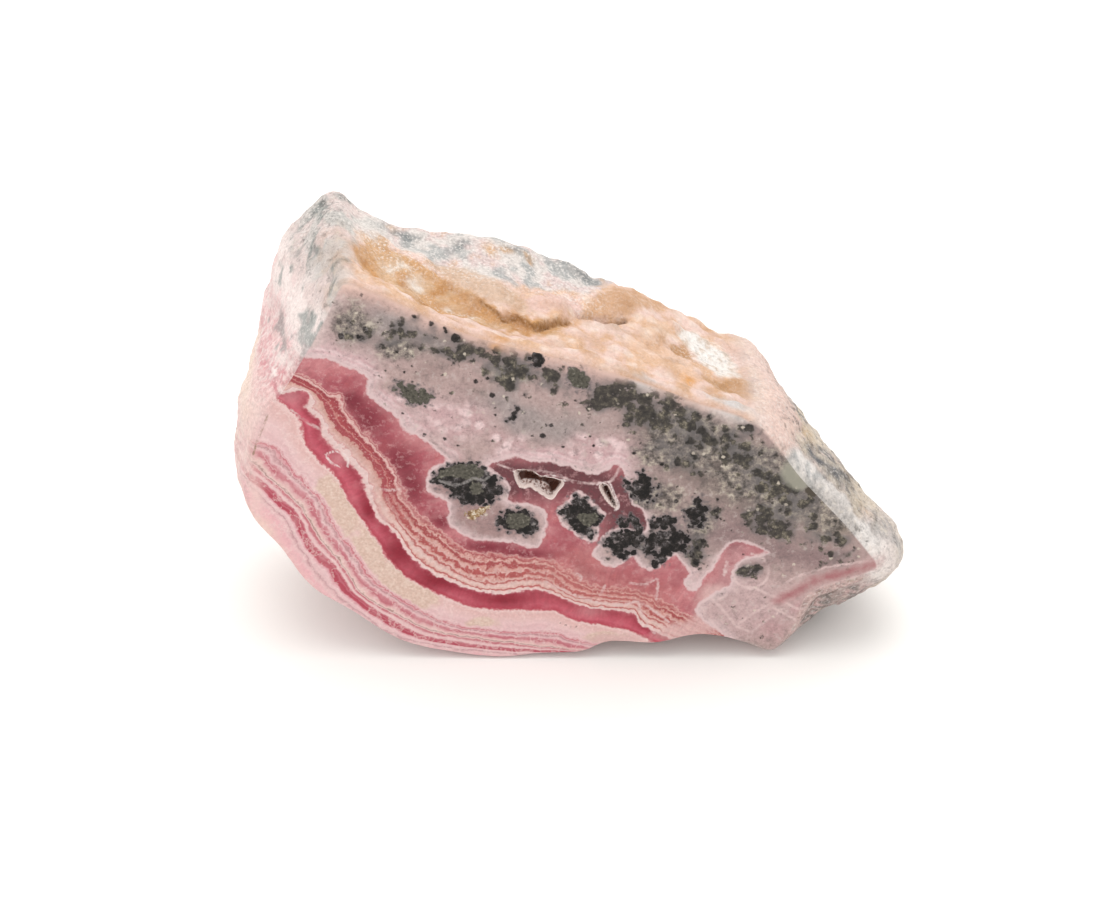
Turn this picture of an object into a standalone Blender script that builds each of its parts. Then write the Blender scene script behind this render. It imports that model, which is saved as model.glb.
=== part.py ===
"""Rhodochrosite slice: one thick piece sawn from banded vein rock.

The stone stands on its rough underside. Its front is a flat sawn and polished
face that leans back a little, and its back is a parallel sawn face. Between
the two runs the rough broken wall of the stone: a caved and lumpy top with a
rounded rim, a flat left side, a right end that falls away to a blunt tip, a
broken ledge below that tip, and an underside that touches the table in two
places. Two small hollows open in the front face.

Face frame, in millimetres: u runs right along the front face, v runs up it,
and w runs from it into the stone, square to both.
"""
import math

import bmesh
import bpy
import numpy as np

MM = 0.001
THICKNESS = 26.0                      # from the front face to the back face
LEAN = math.radians(8.0)              # how far both sawn faces lean back
FACE_ORIGIN = (-2.4, -12.34, 34.05)   # the point u = v = w = 0, in the part's frame
NODE = "rhodochrosite_slice"

# The front outline, clockwise from its top left corner. Each row is a point of
# the outline (u, v), how far the wall swells out behind it, and where the same
# point lies on the back face, as a shift (du, dv).
TOP = [
    (-28.1, 25.6, 0.4, -3.1, 0.5), (-24.1, 24.7, 0.3, -3.0, -0.9), (-19.7, 22.5, 0.2, -1.8, -1.4),
    (-15.1, 19.9, 0.0, -1.4, 0.6), (-10.5, 17.8, 0.0, -1.2, 2.3), (-5.8, 16.3, 0.0, -1.0, 2.2),
    (-1.1, 15.1, 0.0, -0.8, 1.4), (3.6, 13.9, 0.2, -0.7, 0.9), (9.0, 12.0, 0.4, -0.7, 0.4),
    (14.4, 9.9, 0.5, -0.9, 0.0), (19.8, 7.7, 0.6, -1.2, -0.5), (25.6, 5.6, 0.8, -1.6, -1.2),
]
RIGHT = [
    (29.5, 1.0, 1.8, -1.0, 1.6), (33.8, -4.0, 3.0, -2.3, 0.4), (38.9, -10.0, 3.9, -4.2, -1.0),
    (42.9, -14.8, 4.2, -6.0, -1.6), (45.3, -18.8, 6.1, -7.0, -2.2),
]
LEDGE = [
    (42.9, -20.6, 6.8, -5.6, -2.6), (39.2, -21.9, 7.6, -3.8, -3.8), (35.8, -23.9, 7.0, -2.2, -3.8),
    (34.4, -28.1, 3.8, -1.8, -1.6), (32.5, -31.7, 1.5, -1.9, 0.7),
]
BOTTOM = [
    (30.6, -32.9, 1.7, -2.4, 1.8), (27.1, -31.5, 1.6, -1.6, 0.6), (20.7, -30.3, 0.0, -0.7, 0.6),
    (14.4, -31.7, 0.0, 0.0, 1.6), (8.0, -31.5, 0.1, 0.0, 1.0), (3.8, -33.2, 0.4, -0.2, 2.2),
    (-1.9, -33.5, 0.7, 0.0, 1.7), (-7.6, -34.1, 0.8, 0.0, 2.2), (-14.7, -33.2, 0.7, 0.3, 1.4),
    (-21.7, -31.2, 0.3, 0.4, 0.5),
]
LEFT = [
    (-28.7, -26.1, 0.1, 0.4, 0.3), (-34.1, -22.1, 0.2, -0.3, 1.2), (-38.1, -15.7, 0.5, -0.8, 1.2),
    (-41.3, -11.3, 1.1, -0.9, 0.8), (-42.2, -7.2, 1.8, -0.9, 0.7), (-41.3, -2.5, 2.2, -1.4, 0.5),
    (-40.5, 2.0, 2.3, -1.8, 0.2), (-38.4, 6.5, 1.6, -3.0, 0.5), (-35.5, 11.1, 0.9, -4.7, 0.9),
    (-33.3, 15.1, 0.5, -5.9, 1.3), (-30.9, 19.9, 0.3, -6.2, 1.3),
]
STATIONS = np.array(TOP + RIGHT + LEDGE + BOTTOM + LEFT)
STEPS_PER_STATION = 4                 # wall columns from one station to the next
DEPTHS = (0.0, 0.5, 1.1, 1.8, 2.7, 3.7, 4.8, 6.0, 7.2, 8.4, 9.7, 11.0, 12.3, 13.6, 15.0,
          16.4, 17.8, 19.2, 20.6, 22.0, 23.4, 24.8, THICKNESS)
SWELL_POWER = 0.7                     # the swelling is widest at 0.37 of the depth

# Relief of the top: (u, w, half width along u, half width along w, height)
TOP_RELIEF = {
    "amber trough": (-12.0, 9.2, 13.5, 4.6, -1.9),
    "cave": (6.0, 14.2, 3.0, 1.0, -2.0),
    "peach mound": (9.5, 20.0, 4.2, 3.2, 1.5),
    "left lump": (10.6, 15.6, 1.4, 1.2, 0.9),
    "middle lump": (13.2, 15.2, 1.3, 1.1, 0.8),
    "right lump": (15.6, 15.0, 1.2, 1.1, 0.7),
    "crust hollow": (20.8, 16.6, 4.8, 2.4, -0.9),
    "tan hollow": (18.0, 12.6, 2.2, 0.9, -1.0),
    "shoulder hollow": (25.2, 9.2, 3.4, 1.2, -0.9),
    "back lump": (-6.2, 24.4, 2.2, 1.6, 0.9),
    "second back lump": (3.4, 24.6, 2.6, 1.5, 0.8),
    "corner crest": (-29.5, 19.0, 2.6, 4.0, 1.1),
    "pale saddle": (-19.5, 21.0, 4.5, 3.0, -0.7),
}
RIM = ((-28.0, 4.8), (-23.0, 5.2), (-18.0, 3.2), (-12.5, 1.6), (-7.0, 1.7), (0.0, 2.3), (7.0, 3.0),
       (20.0, 2.8), (30.0, 2.4))      # (u, w) of the inner edge of the rim along the front
RIM_STEP = 0.7                        # how far the top drops behind the rim
SHELF = ((-15.5, 5.6), (-10.0, 8.6), (-7.4, 4.6), (-5.0, 7.4), (-2.2, 5.0), (1.0, 7.8))
SHELF_STEP = 0.8                      # the broken shelf inside the trough
UNDERCUT = 1.1                        # how far the crack under the tip bites in
ROUGHNESS = ((9.0, 0.65), (4.6, 0.50), (2.6, 0.28))   # (size of the lumps, their height)

# The two hollows in the front face, as outlines (u, v)
HOLLOWS = {
    "wide_hollow": [(-5.3, -3.4), (-2.8, -3.6), (-1.7, -4.4), (-0.1, -4.5), (1.4, -5.3),
                    (0.6, -6.6), (-0.3, -7.9), (-1.9, -6.9), (-3.2, -6.0), (-4.6, -6.0)],
    "narrow_hollow": [(6.3, -5.8), (7.4, -5.6), (8.1, -7.2), (8.8, -9.0), (8.4, -9.3), (7.2, -7.9)],
}
HOLLOW_DEPTH = 2.6
HOLLOW_FLOOR = 0.5                    # the floor's size over the mouth's


def place(u, v, w):
    """Point of the face frame, in millimetres, as a point of the part, in metres."""
    x = FACE_ORIGIN[0] + u
    y = FACE_ORIGIN[1] + v * math.sin(LEAN) + w * math.cos(LEAN)
    z = FACE_ORIGIN[2] + v * math.cos(LEAN) - w * math.sin(LEAN)
    return np.stack(np.broadcast_arrays(x, y, z), axis=-1) * MM


def noise(points, size, seed):
    """Gradient noise, about -0.7 to 0.7: random slopes at the corners of a
    cubic lattice, blended by 6t^5 - 15t^4 + 10t^3."""
    slopes = np.random.default_rng(seed).normal(size=(4096, 3))
    slopes /= np.linalg.norm(slopes, axis=1)[:, None]
    scaled = points / size
    cell = np.floor(scaled).astype(np.int64)
    inside = scaled - cell
    blend = inside ** 3 * (inside * (inside * 6 - 15) + 10)
    total = np.zeros(len(points))
    for corner in np.ndindex(2, 2, 2):
        key = (cell + corner) @ np.array([73856093, 19349663, 83492791])
        offset = inside - corner
        weight = np.prod(np.where(corner, blend, 1 - blend), axis=1)
        total += weight * np.einsum("ij,ij->i", slopes[key & 4095], offset)
    return total


def closed_curve(rows, steps):
    """Catmull-Rom curve through the rows, closed, with this many points a row."""
    t = np.arange(steps)[None, :, None] / steps
    before, start = np.roll(rows, 1, axis=0)[:, None], rows[:, None]
    end, after = np.roll(rows, -1, axis=0)[:, None], np.roll(rows, -2, axis=0)[:, None]
    curve = (2 * start + (end - before) * t
             + (2 * before - 5 * start + 4 * end - after) * t ** 2
             + (3 * start - before - 3 * end + after) * t ** 3) / 2
    return curve.reshape(-1, rows.shape[1])


def outward(outline, reach):
    """Unit normals of a closed clockwise outline, square to the line between
    the points that lie this many places before and after."""
    along = np.roll(outline, -reach, axis=0) - np.roll(outline, reach, axis=0)
    normal = np.stack([-along[:, 1], along[:, 0]], axis=1)
    return normal / np.linalg.norm(normal, axis=1)[:, None]


def step(distance, width):
    """Smooth step from 0 to 1 over the given width."""
    t = np.clip(distance / width + 0.5, 0, 1)
    return t * t * (3 - 2 * t)


def top_relief(u, w):
    """Height of the top over its even sweep: the step down behind the rim,
    the broken shelf, and one bell-shaped mound or hollow for each feature."""
    height = -RIM_STEP * step(w - np.interp(u, *zip(*RIM)), 1.6) * (1 - step(w - 17.0, 8.0))
    for cu, cw, half_u, half_w, rise in TOP_RELIEF.values():
        height += rise * np.exp(-((u - cu) / half_u) ** 2 - ((w - cw) / half_w) ** 2)
    on_shelf = step(u - SHELF[0][0], 3.0) * (1 - step(u - SHELF[-1][0], 3.0)) * (1 - step(w - 13.0, 7.0))
    height += SHELF_STEP * on_shelf * step(w - np.interp(u, *zip(*SHELF)), 0.9)
    return height


def wall_rings():
    """The wall as rings (depth, column, xyz): front outline + normal x swelling
    + a share of the shift to the back outline + relief along the normal."""
    curve = closed_curve(STATIONS, STEPS_PER_STATION)
    outline, swell, shift = curve[:, :2], curve[:, 2], curve[:, 3:]
    normal = outward(outline, STEPS_PER_STATION)
    station = np.arange(len(curve)) / STEPS_PER_STATION
    first_right, first_ledge = len(TOP), len(TOP) + len(RIGHT)
    on_top = step(station + 0.5, 1.5) * (1 - step(station - first_right + 0.5, 2.0))
    on_top += step(station - len(STATIONS) + 0.8, 1.5)
    on_ledge = step(station - first_ledge + 0.9, 1.2) * (1 - step(station - first_ledge - 3.0, 1.5))
    rings = []
    for w in DEPTHS:
        depth = w / THICKNESS
        lift = swell * math.sin(math.pi * depth ** SWELL_POWER)
        lift += on_top * top_relief(outline[:, 0] + shift[:, 0] * depth, w)
        lift -= on_ledge * UNDERCUT * math.exp(-((w - 1.4) / 0.8) ** 2)
        even = outline + normal * lift[:, None] + shift * depth
        solid = place(even[:, 0], even[:, 1], w) / MM
        rough = sum(height * noise(solid, size, seed) for seed, (size, height) in enumerate(ROUGHNESS, 1))
        even = even + normal * (rough * step(w - 1.0, 2.0))[:, None]
        ring = place(even[:, 0], even[:, 1], w)
        ring[:, 2] = np.maximum(ring[:, 2], 0.0)
        rings.append(ring)
    return rings


def mesh_object(name, rings):
    """One closed object: quads from ring to ring, and a flat face at each end."""
    bm = bmesh.new()
    loops = [[bm.verts.new(point) for point in ring] for ring in rings]
    for near, far in zip(loops, loops[1:]):
        for k in range(len(near)):
            bm.faces.new((near[k - 1], near[k], far[k], far[k - 1]))
    bm.faces.new(reversed(loops[0]))
    bm.faces.new(loops[-1])
    bmesh.ops.recalc_face_normals(bm, faces=bm.faces)
    mesh = bpy.data.meshes.new(name)
    bm.to_mesh(mesh)
    bm.free()
    obj = bpy.data.objects.new(name, mesh)
    bpy.context.scene.collection.objects.link(obj)
    return obj


def hollow_cutter(name, outline):
    """A tapered plug through the front face, smaller and a little higher at its floor."""
    mouth = np.array(outline)
    middle = mouth.mean(axis=0)
    rings = []
    for w in (-0.8, HOLLOW_DEPTH):
        scale = 1 + (HOLLOW_FLOOR - 1) * w / HOLLOW_DEPTH
        ring = middle + (mouth - middle) * scale
        rings.append(place(ring[:, 0], ring[:, 1] + 0.1 * w, w))
    cutter = mesh_object(name, rings)
    cutter.hide_render = True
    cutter.display_type = "WIRE"
    return cutter


def polished_rhodochrosite():
    """Banded pink carbonate with a sawn and polished front."""
    material = bpy.data.materials.new("polished_rhodochrosite")
    material.use_nodes = True
    shader = material.node_tree.nodes["Principled BSDF"]
    shader.inputs["Base Color"].default_value = (0.60, 0.29, 0.30, 1.0)
    shader.inputs["Roughness"].default_value = 0.35
    shader.inputs["Metallic"].default_value = 0.0
    return material


def main():
    for obj in list(bpy.data.objects):
        bpy.data.objects.remove(obj, do_unlink=True)
    stone = mesh_object(NODE, wall_rings())
    stone.data.materials.append(polished_rhodochrosite())
    for name, outline in HOLLOWS.items():
        cut = stone.modifiers.new(name, "BOOLEAN")
        cut.operation = "DIFFERENCE"
        cut.solver = "EXACT"
        cut.object = hollow_cutter(name + "_cutter", outline)


main()
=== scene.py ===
"""Looks of a rhodochrosite slice: pink banded vein rock, sawn and polished, with
grey matrix, black sulphide grains and a weathered, crystalline outside.

Face frame, in millimetres: u runs right along the polished face, v runs up it,
and w runs from it into the stone, square to both.
"""

import math

import bpy
import numpy as np
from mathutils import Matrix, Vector


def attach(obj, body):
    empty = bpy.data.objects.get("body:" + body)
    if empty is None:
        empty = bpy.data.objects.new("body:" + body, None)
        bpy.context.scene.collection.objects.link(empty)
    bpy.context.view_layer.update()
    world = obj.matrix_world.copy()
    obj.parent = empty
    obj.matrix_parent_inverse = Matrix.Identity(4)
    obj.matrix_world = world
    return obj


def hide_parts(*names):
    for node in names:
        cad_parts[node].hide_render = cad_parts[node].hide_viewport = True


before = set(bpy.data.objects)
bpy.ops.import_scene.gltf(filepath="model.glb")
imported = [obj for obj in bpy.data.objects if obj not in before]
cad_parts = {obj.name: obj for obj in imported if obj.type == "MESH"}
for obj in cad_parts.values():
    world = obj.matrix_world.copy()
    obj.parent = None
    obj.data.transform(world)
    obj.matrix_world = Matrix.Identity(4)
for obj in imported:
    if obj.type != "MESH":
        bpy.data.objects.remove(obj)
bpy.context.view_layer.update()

NODE = "rhodochrosite_slice"
MM = 0.001
THICKNESS = 26.0                      # from the polished face to the sawn back
LEAN = math.radians(8.0)              # how far both sawn faces lean back
FACE_ORIGIN = (-2.4, -12.34, 34.05)   # the point u = v = w = 0

# ---------------------------------------------------------------- the outline
# The front outline, clockwise from its top left corner. Each row is a point of
# the outline (u, v), how far the wall swells out behind it, and where the same
# point lies on the back face, as a shift (du, dv).
TOP = [
    (-28.1, 25.6, 0.4, -3.1, 0.5), (-24.1, 24.7, 0.3, -3.0, -0.9), (-19.7, 22.5, 0.2, -1.8, -1.4),
    (-15.1, 19.9, 0.0, -1.4, 0.6), (-10.5, 17.8, 0.0, -1.2, 2.3), (-5.8, 16.3, 0.0, -1.0, 2.2),
    (-1.1, 15.1, 0.0, -0.8, 1.4), (3.6, 13.9, 0.2, -0.7, 0.9), (9.0, 12.0, 0.4, -0.7, 0.4),
    (14.4, 9.9, 0.5, -0.9, 0.0), (19.8, 7.7, 0.6, -1.2, -0.5), (25.6, 5.6, 0.8, -1.6, -1.2),
]
RIGHT = [
    (29.3, 2.7, 1.8, -0.9, -0.1), (33.8, -4.0, 3.0, -2.3, 0.4), (38.9, -10.0, 3.9, -4.2, -1.0),
    (42.9, -14.8, 4.2, -6.0, -1.6), (45.3, -18.8, 6.1, -7.0, -2.2),
]
LEDGE = [
    (42.9, -20.6, 6.8, -5.6, -2.6), (39.2, -21.9, 7.6, -3.8, -3.8), (35.8, -23.9, 7.0, -2.2, -3.8),
    (34.4, -28.1, 3.8, -1.8, -1.6), (32.5, -31.7, 1.5, -1.9, 0.7),
]
BOTTOM = [
    (30.6, -32.9, 1.7, -2.4, 1.8), (27.1, -31.5, 1.6, -1.6, 0.6), (20.7, -30.3, 0.0, -0.7, 0.6),
    (14.4, -31.7, 0.0, 0.0, 1.6), (8.0, -31.5, 0.1, 0.0, 1.0), (3.8, -33.2, 0.4, -0.2, 2.2),
    (-1.9, -33.5, 0.7, 0.0, 1.7), (-7.6, -34.1, 0.8, 0.0, 2.2), (-14.7, -33.2, 0.7, 0.3, 1.4),
    (-21.7, -31.2, 0.3, 0.4, 0.5),
]
LEFT = [
    (-28.7, -26.1, 0.1, 0.4, 0.3), (-34.1, -22.1, 0.2, -0.3, 1.2), (-38.1, -15.7, 0.5, -0.8, 1.2),
    (-41.3, -11.3, 1.1, -0.9, 0.8), (-42.2, -7.2, 1.8, -0.9, 0.7), (-41.3, -2.5, 2.2, -1.4, 0.5),
    (-40.5, 2.0, 2.3, -1.8, 0.2), (-38.4, 6.5, 1.6, -3.0, 0.5), (-35.5, 11.1, 0.9, -4.7, 0.9),
    (-33.3, 15.1, 0.5, -5.9, 1.3), (-30.9, 19.9, 0.3, -6.2, 1.3),
]
STATIONS = np.array(TOP + RIGHT + LEDGE + BOTTOM + LEFT)
LAST_TOP = len(TOP) - 1               # stations of the outline: the end of the top,
TIP = LAST_TOP + len(RIGHT)           # the right tip,
FOOT = TIP + len(LEDGE) + 1           # the foot of the broken ledge,
LOW_LEFT = FOOT + len(BOTTOM) + 3     # and the low left corner
SWELL_POWER = 0.7

# Relief of the top: (u, w, half width along u, half width along w, height)
TOP_RELIEF = {
    "amber trough": (-13.0, 9.4, 12.5, 4.2, -1.9),
    "cave": (6.8, 14.4, 2.6, 0.9, -1.6),
    "peach mound": (9.8, 20.2, 3.6, 3.4, 1.6),
    "left lump": (8.5, 13.0, 1.4, 1.1, 0.8),
    "middle lump": (13.2, 14.6, 2.0, 1.5, 0.9),
    "right lump": (17.0, 19.6, 1.6, 1.6, 0.7),
    "pink lump": (-0.4, 13.2, 3.0, 2.4, 0.7),
    "peach swelling": (15.0, 6.4, 4.2, 2.6, 0.6),
    "crust hollow": (21.8, 15.6, 3.6, 3.0, -0.8),
    "tan hollow": (18.0, 13.4, 1.7, 1.5, -0.9),
    "lower tan hollow": (24.4, 7.6, 3.6, 1.5, -1.3),
    "pink knob": (28.6, 16.5, 2.2, 4.0, 0.7),
    "back lump": (-7.2, 24.2, 3.2, 1.6, 0.9),
    "second back lump": (2.6, 24.8, 2.2, 1.3, 0.8),
    "corner crest": (-29.5, 19.0, 2.6, 4.0, 1.1),
    "pale saddle": (-19.5, 21.0, 4.5, 3.0, -0.7),
}
RIM = ((-28.0, 4.8), (-23.0, 5.0), (-18.0, 3.2), (-12.5, 1.6), (-7.0, 1.7), (0.0, 2.3), (7.0, 3.0),
       (20.0, 2.8), (30.0, 2.4))
RIM_STEP = 0.7
SHELF = ((-15.0, 13.4), (-12.2, 12.0), (-10.0, 10.8), (-8.5, 9.6), (-7.0, 8.4), (-5.0, 9.0), (-2.8, 6.6),
         (-0.6, 8.6), (2.2, 10.6))
SHELF_STEP = 1.0
CAVE = ((4.1, 13.6), (6.9, 14.4), (9.8, 16.4))
CAVE_DEPTH, CAVE_WIDTH = 1.5, 0.6
LOW_CRACK = ((-20.0, 10.2), (-17.4, 7.4), (-14.6, 6.0))
UNDERCUT = 1.1
KNOBBLES = ((5.0, 0.70), (2.6, 0.60), (1.2, 0.25))      # (size, height) of the rounded lumps
ROUGHNESS = ((9.0, 0.65), (4.6, 0.50), (2.6, 0.28))    # (size of the lumps, their height)
FINE_ROUGHNESS = ((1.5, 0.20), (0.8, 0.12), (0.45, 0.06))
EDGE_ROUNDING = 0.3                   # the worn edge round the polished face
SHARP_ANGLE = math.radians(38.0)      # sharper edges than this stay sharp

TABLE = 4096                          # entries of the random tables of the noises
FAR = 70.0                            # beyond the stone on every side
OUTSIDE = -9.0                        # depth in a hollow, for points well away from it

ACROSS, UP = 320, 112                 # cells of the face grid
WALL_ROWS = 60
VUGS = {
    "wide": [(-5.3, -3.4), (-2.8, -3.6), (-1.7, -4.4), (-0.1, -4.5), (1.4, -5.3),
             (0.6, -6.6), (-0.3, -7.9), (-1.9, -6.9), (-3.2, -6.0), (-4.6, -6.0)],
    "narrow": [(6.3, -5.8), (7.4, -5.6), (8.1, -7.2), (8.8, -9.0), (8.4, -9.3), (7.2, -7.9)],
}
VUG_DEPTH = 1.9

# ----------------------------------------------------------- the vein pattern
# Growth lines of the banded carbonate, from the outer skin inwards, as open
# curves (u, v) from the left side down and round to the foot of the stone.
GROWTH_LINES = {
    "skin": [
        (-42.2, -4.8), (-40.2, -7.6), (-36.9, -11.4), (-35.8, -14.5), (-33.6, -18.9), (-30.5, -23.4),
        (-25.6, -27.9), (-21.7, -30.5), (-17.5, -31.7), (-7.6, -33.2), (3.1, -33.5), (6.6, -33.9)],
    "first raspberry": [
        (-43.5, -3.6), (-40.1, -5.5), (-37.5, -8.4), (-35.7, -10.5), (-33.9, -15.3), (-30.9, -18.6),
        (-28.6, -22.9), (-23.8, -27.4), (-17.5, -31.0), (-7.6, -32.7), (3.1, -33.2), (6.6, -33.5)],
    "grey line": [
        (-43.6, -1.3), (-41.2, -1.7), (-39.3, -4.2), (-35.4, -8.1), (-32.4, -14.2), (-29.4, -18.6),
        (-26.9, -23.3), (-22.3, -26.6), (-16.8, -29.6), (-7.6, -31.3), (3.1, -32.9), (6.6, -33.2)],
    "cream, outer": [
        (-44.0, 1.3), (-41.0, 1.2), (-38.3, 0.9), (-36.7, -1.6), (-34.3, -4.9), (-31.4, -8.7), (-30.4, -11.8),
        (-27.2, -17.1), (-25.7, -20.3), (-20.9, -24.4), (-17.4, -26.9), (-13.2, -28.8), (-5.4, -29.8),
        (-0.5, -29.6), (3.0, -31.2), (8.0, -32.2)],
    "raspberry, outer": [
        (-40.1, 10.8), (-37.0, 7.9), (-34.2, 4.3), (-33.9, 1.5), (-32.2, -1.5), (-30.2, -3.4),
        (-28.1, -8.0), (-24.8, -14.0), (-21.7, -19.3), (-18.7, -21.8), (-13.1, -24.8), (-8.9, -25.9),
        (-0.2, -26.1), (3.0, -27.8), (10.1, -29.3), (14.4, -31.5), (18.0, -33.7)],
    "raspberry, inner": [
        (-39.3, 11.4), (-37.0, 8.4), (-33.8, 9.3), (-33.1, 8.0), (-33.8, 6.5), (-31.7, 4.2),
        (-31.7, 2.4), (-28.1, -2.3), (-26.6, -4.7), (-24.6, -10.8), (-22.0, -13.5), (-19.9, -17.6),
        (-14.5, -21.6), (-8.2, -23.4), (-3.3, -22.8), (-0.5, -23.3), (5.1, -25.8), (11.1, -26.6),
        (12.2, -28.6), (14.8, -30.0), (19.4, -32.9)],
    "cream, inner": [
        (-37.9, 11.4), (-33.8, 9.9), (-31.3, 7.7), (-29.4, 3.5), (-26.4, 0.4), (-23.5, -4.0),
        (-23.2, -7.6), (-19.2, -14.5), (-12.4, -20.3), (-8.2, -21.4), (-3.3, -20.6), (-0.2, -21.4),
        (3.0, -23.8), (11.5, -24.9), (13.3, -26.9), (20.8, -31.2)],
    "deep rose": [
        (-36.8, 12.0), (-34.1, 11.7), (-30.2, 8.8), (-28.5, 8.5), (-28.1, 6.2), (-25.5, 2.3),
        (-22.0, -2.8), (-20.7, -6.3), (-18.7, -10.3), (-15.3, -13.2), (-11.9, -16.2), (-7.5, -16.8),
        (-1.9, -17.5), (1.6, -19.1), (5.1, -21.9), (12.1, -23.1), (20.7, -27.8), (25.0, -30.5)],
}
SKIN = 3.0                            # thickness of the even outer skin

# Where the rose carbonate ends against the matrix, from left to right. It runs
# round two grain pockets and over the little vug chamber between them.
ROSE_EDGE = [
    (-36.7, 15.1), (-34.4, 14.2), (-30.7, 14.2), (-28.3, 13.1), (-25.8, 11.9), (-24.9, 10.8), (-25.2, 9.0),
    (-23.2, 6.8), (-21.1, 4.9), (-20.3, 3.1), (-18.2, 2.0), (-16.1, -0.1), (-14.4, -1.8), (-16.6, -2.8),
    (-17.2, -4.2), (-17.4, -5.8), (-16.9, -6.9), (-14.5, -8.5), (-14.6, -11.3), (-14.1, -12.4),
    (-11.0, -14.4), (-6.7, -14.7), (-3.1, -15.7), (-1.7, -14.8), (-0.9, -10.9), (-2.4, -9.0), (-5.7, -8.5),
    (-6.4, -7.6), (-6.0, -6.1), (-6.7, -4.7), (-9.0, -2.6), (-5.5, -1.2), (-3.2, -1.8), (-0.2, -2.1),
    (1.7, -2.6), (5.0, -3.8), (6.9, -3.5), (8.6, -2.3), (9.8, -3.9), (10.0, -6.1), (10.8, -8.5),
    (12.1, -9.5), (12.9, -11.3), (12.6, -13.1), (9.5, -12.6), (7.3, -13.5), (5.6, -16.6), (6.5, -18.0),
    (7.6, -18.8), (9.3, -18.5), (11.2, -17.1), (12.2, -18.8), (13.5, -19.4), (15.0, -18.8), (16.8, -17.0),
    (17.9, -18.3), (19.1, -19.8), (18.3, -21.3), (18.9, -22.6), (20.1, -22.9), (20.9, -21.1),
    (22.1, -19.3), (23.2, -17.1), (24.4, -15.3), (26.2, -14.7), (29.9, -16.5), (27.7, -17.1),
    (26.0, -18.0), (25.0, -19.9), (24.7, -21.9), (21.4, -24.1), (20.2, -25.6), (20.8, -27.4), (25.3, -31.2),
]
ISLAND_RIM = [
    (0.5, -9.5), (1.9, -8.5), (2.7, -7.1), (3.6, -6.6), (5.3, -8.0), (6.1, -9.2), (7.3, -10.3), (6.4, -11.4),
    (6.3, -13.2), (5.6, -14.7), (4.2, -14.4), (2.6, -13.1), (1.2, -11.9)]
SULPHIDES = {
    "big island": [
        (-16.8, -4.7), (-14.7, -2.5), (-12.1, -2.1), (-10.7, -2.0), (-7.5, -4.8), (-6.7, -6.3),
        (-8.2, -8.2), (-10.1, -8.8), (-12.1, -8.8), (-13.6, -8.2), (-14.4, -6.4), (-15.9, -6.0)],
    "lower island": [
        (-8.0, -12.2), (-7.7, -10.8), (-6.6, -9.8), (-4.8, -9.5), (-3.2, -10.0), (-2.1, -12.9),
        (-3.3, -13.7), (-6.4, -12.9)],
    "middle island": [
        (0.9, -9.8), (2.1, -8.7), (2.7, -7.4), (3.7, -7.2), (5.0, -8.4), (6.7, -10.9), (5.9, -12.2),
        (5.6, -13.9), (4.7, -14.2), (1.7, -11.6)],
    "first cluster": [
        (6.6, -15.0), (8.9, -12.9), (8.8, -10.9), (10.3, -10.5), (11.7, -11.1), (12.7, -14.2),
        (11.1, -17.1), (9.6, -17.6)],
    "second cluster": [
        (12.4, -15.0), (13.4, -13.7), (17.0, -12.7), (18.4, -13.4), (19.1, -15.5), (18.2, -17.0),
        (16.5, -16.6), (15.4, -18.3), (13.9, -18.8)],
    "upper cluster": [(13.2, -11.9), (14.2, -10.9), (16.9, -10.8), (17.1, -12.2), (13.7, -12.9)],
    "right cluster": [
        (18.0, -10.1), (19.1, -9.0), (19.6, -7.7), (21.0, -8.4), (20.7, -12.6), (19.6, -12.9)],
    "frayed cluster": [
        (9.7, -4.5), (11.1, -4.8), (12.3, -3.1), (14.5, -6.8), (13.3, -7.1), (13.7, -8.2), (10.5, -7.2)],
    "olive oval": [
        (-21.7, 10.1), (-20.6, 10.5), (-18.0, 9.6), (-16.3, 8.5), (-16.7, 7.4), (-18.5, 7.0), (-20.2, 7.7)],
    "comma": [(-6.3, 4.6), (-5.9, 5.7), (-4.9, 6.5), (-4.4, 6.2), (-5.8, 4.5)],
    "square grain": [(-2.9, 14.6), (-1.4, 14.6), (-1.5, 13.0), (-2.6, 13.1)],
    "brown grain": [(1.7, 11.7), (2.4, 12.8), (3.3, 12.8), (5.1, 11.0), (4.9, 9.7), (2.4, 9.6)],
}
OLIVE = {
    "in the big island": [
        (-16.3, -4.9), (-14.7, -2.8), (-10.8, -2.3), (-9.3, -3.4), (-10.4, -4.8), (-14.5, -4.4)],
    "its lower patch": [(-11.5, -5.8), (-10.1, -5.2), (-9.6, -6.8), (-11.0, -7.1)],
    "in the lower island": [(-6.8, -10.6), (-5.2, -10.1), (-3.3, -10.8), (-3.7, -12.2), (-5.8, -12.6)],
    "in the middle island": [(3.2, -10.3), (5.7, -10.1), (6.2, -11.6), (4.4, -12.1)],
    "oval": [(-22.2, 10.5), (-15.8, 10.5), (-15.8, 6.5), (-22.2, 6.5)],
    "brown": [(1.0, 13.2), (5.6, 13.2), (5.6, 9.0), (1.0, 9.0)],
}
GOLD = [(-12.1, -10.0), (-10.4, -9.3), (-8.5, -8.8), (-9.6, -10.3), (-11.0, -11.3), (-12.1, -10.9)]

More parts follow.
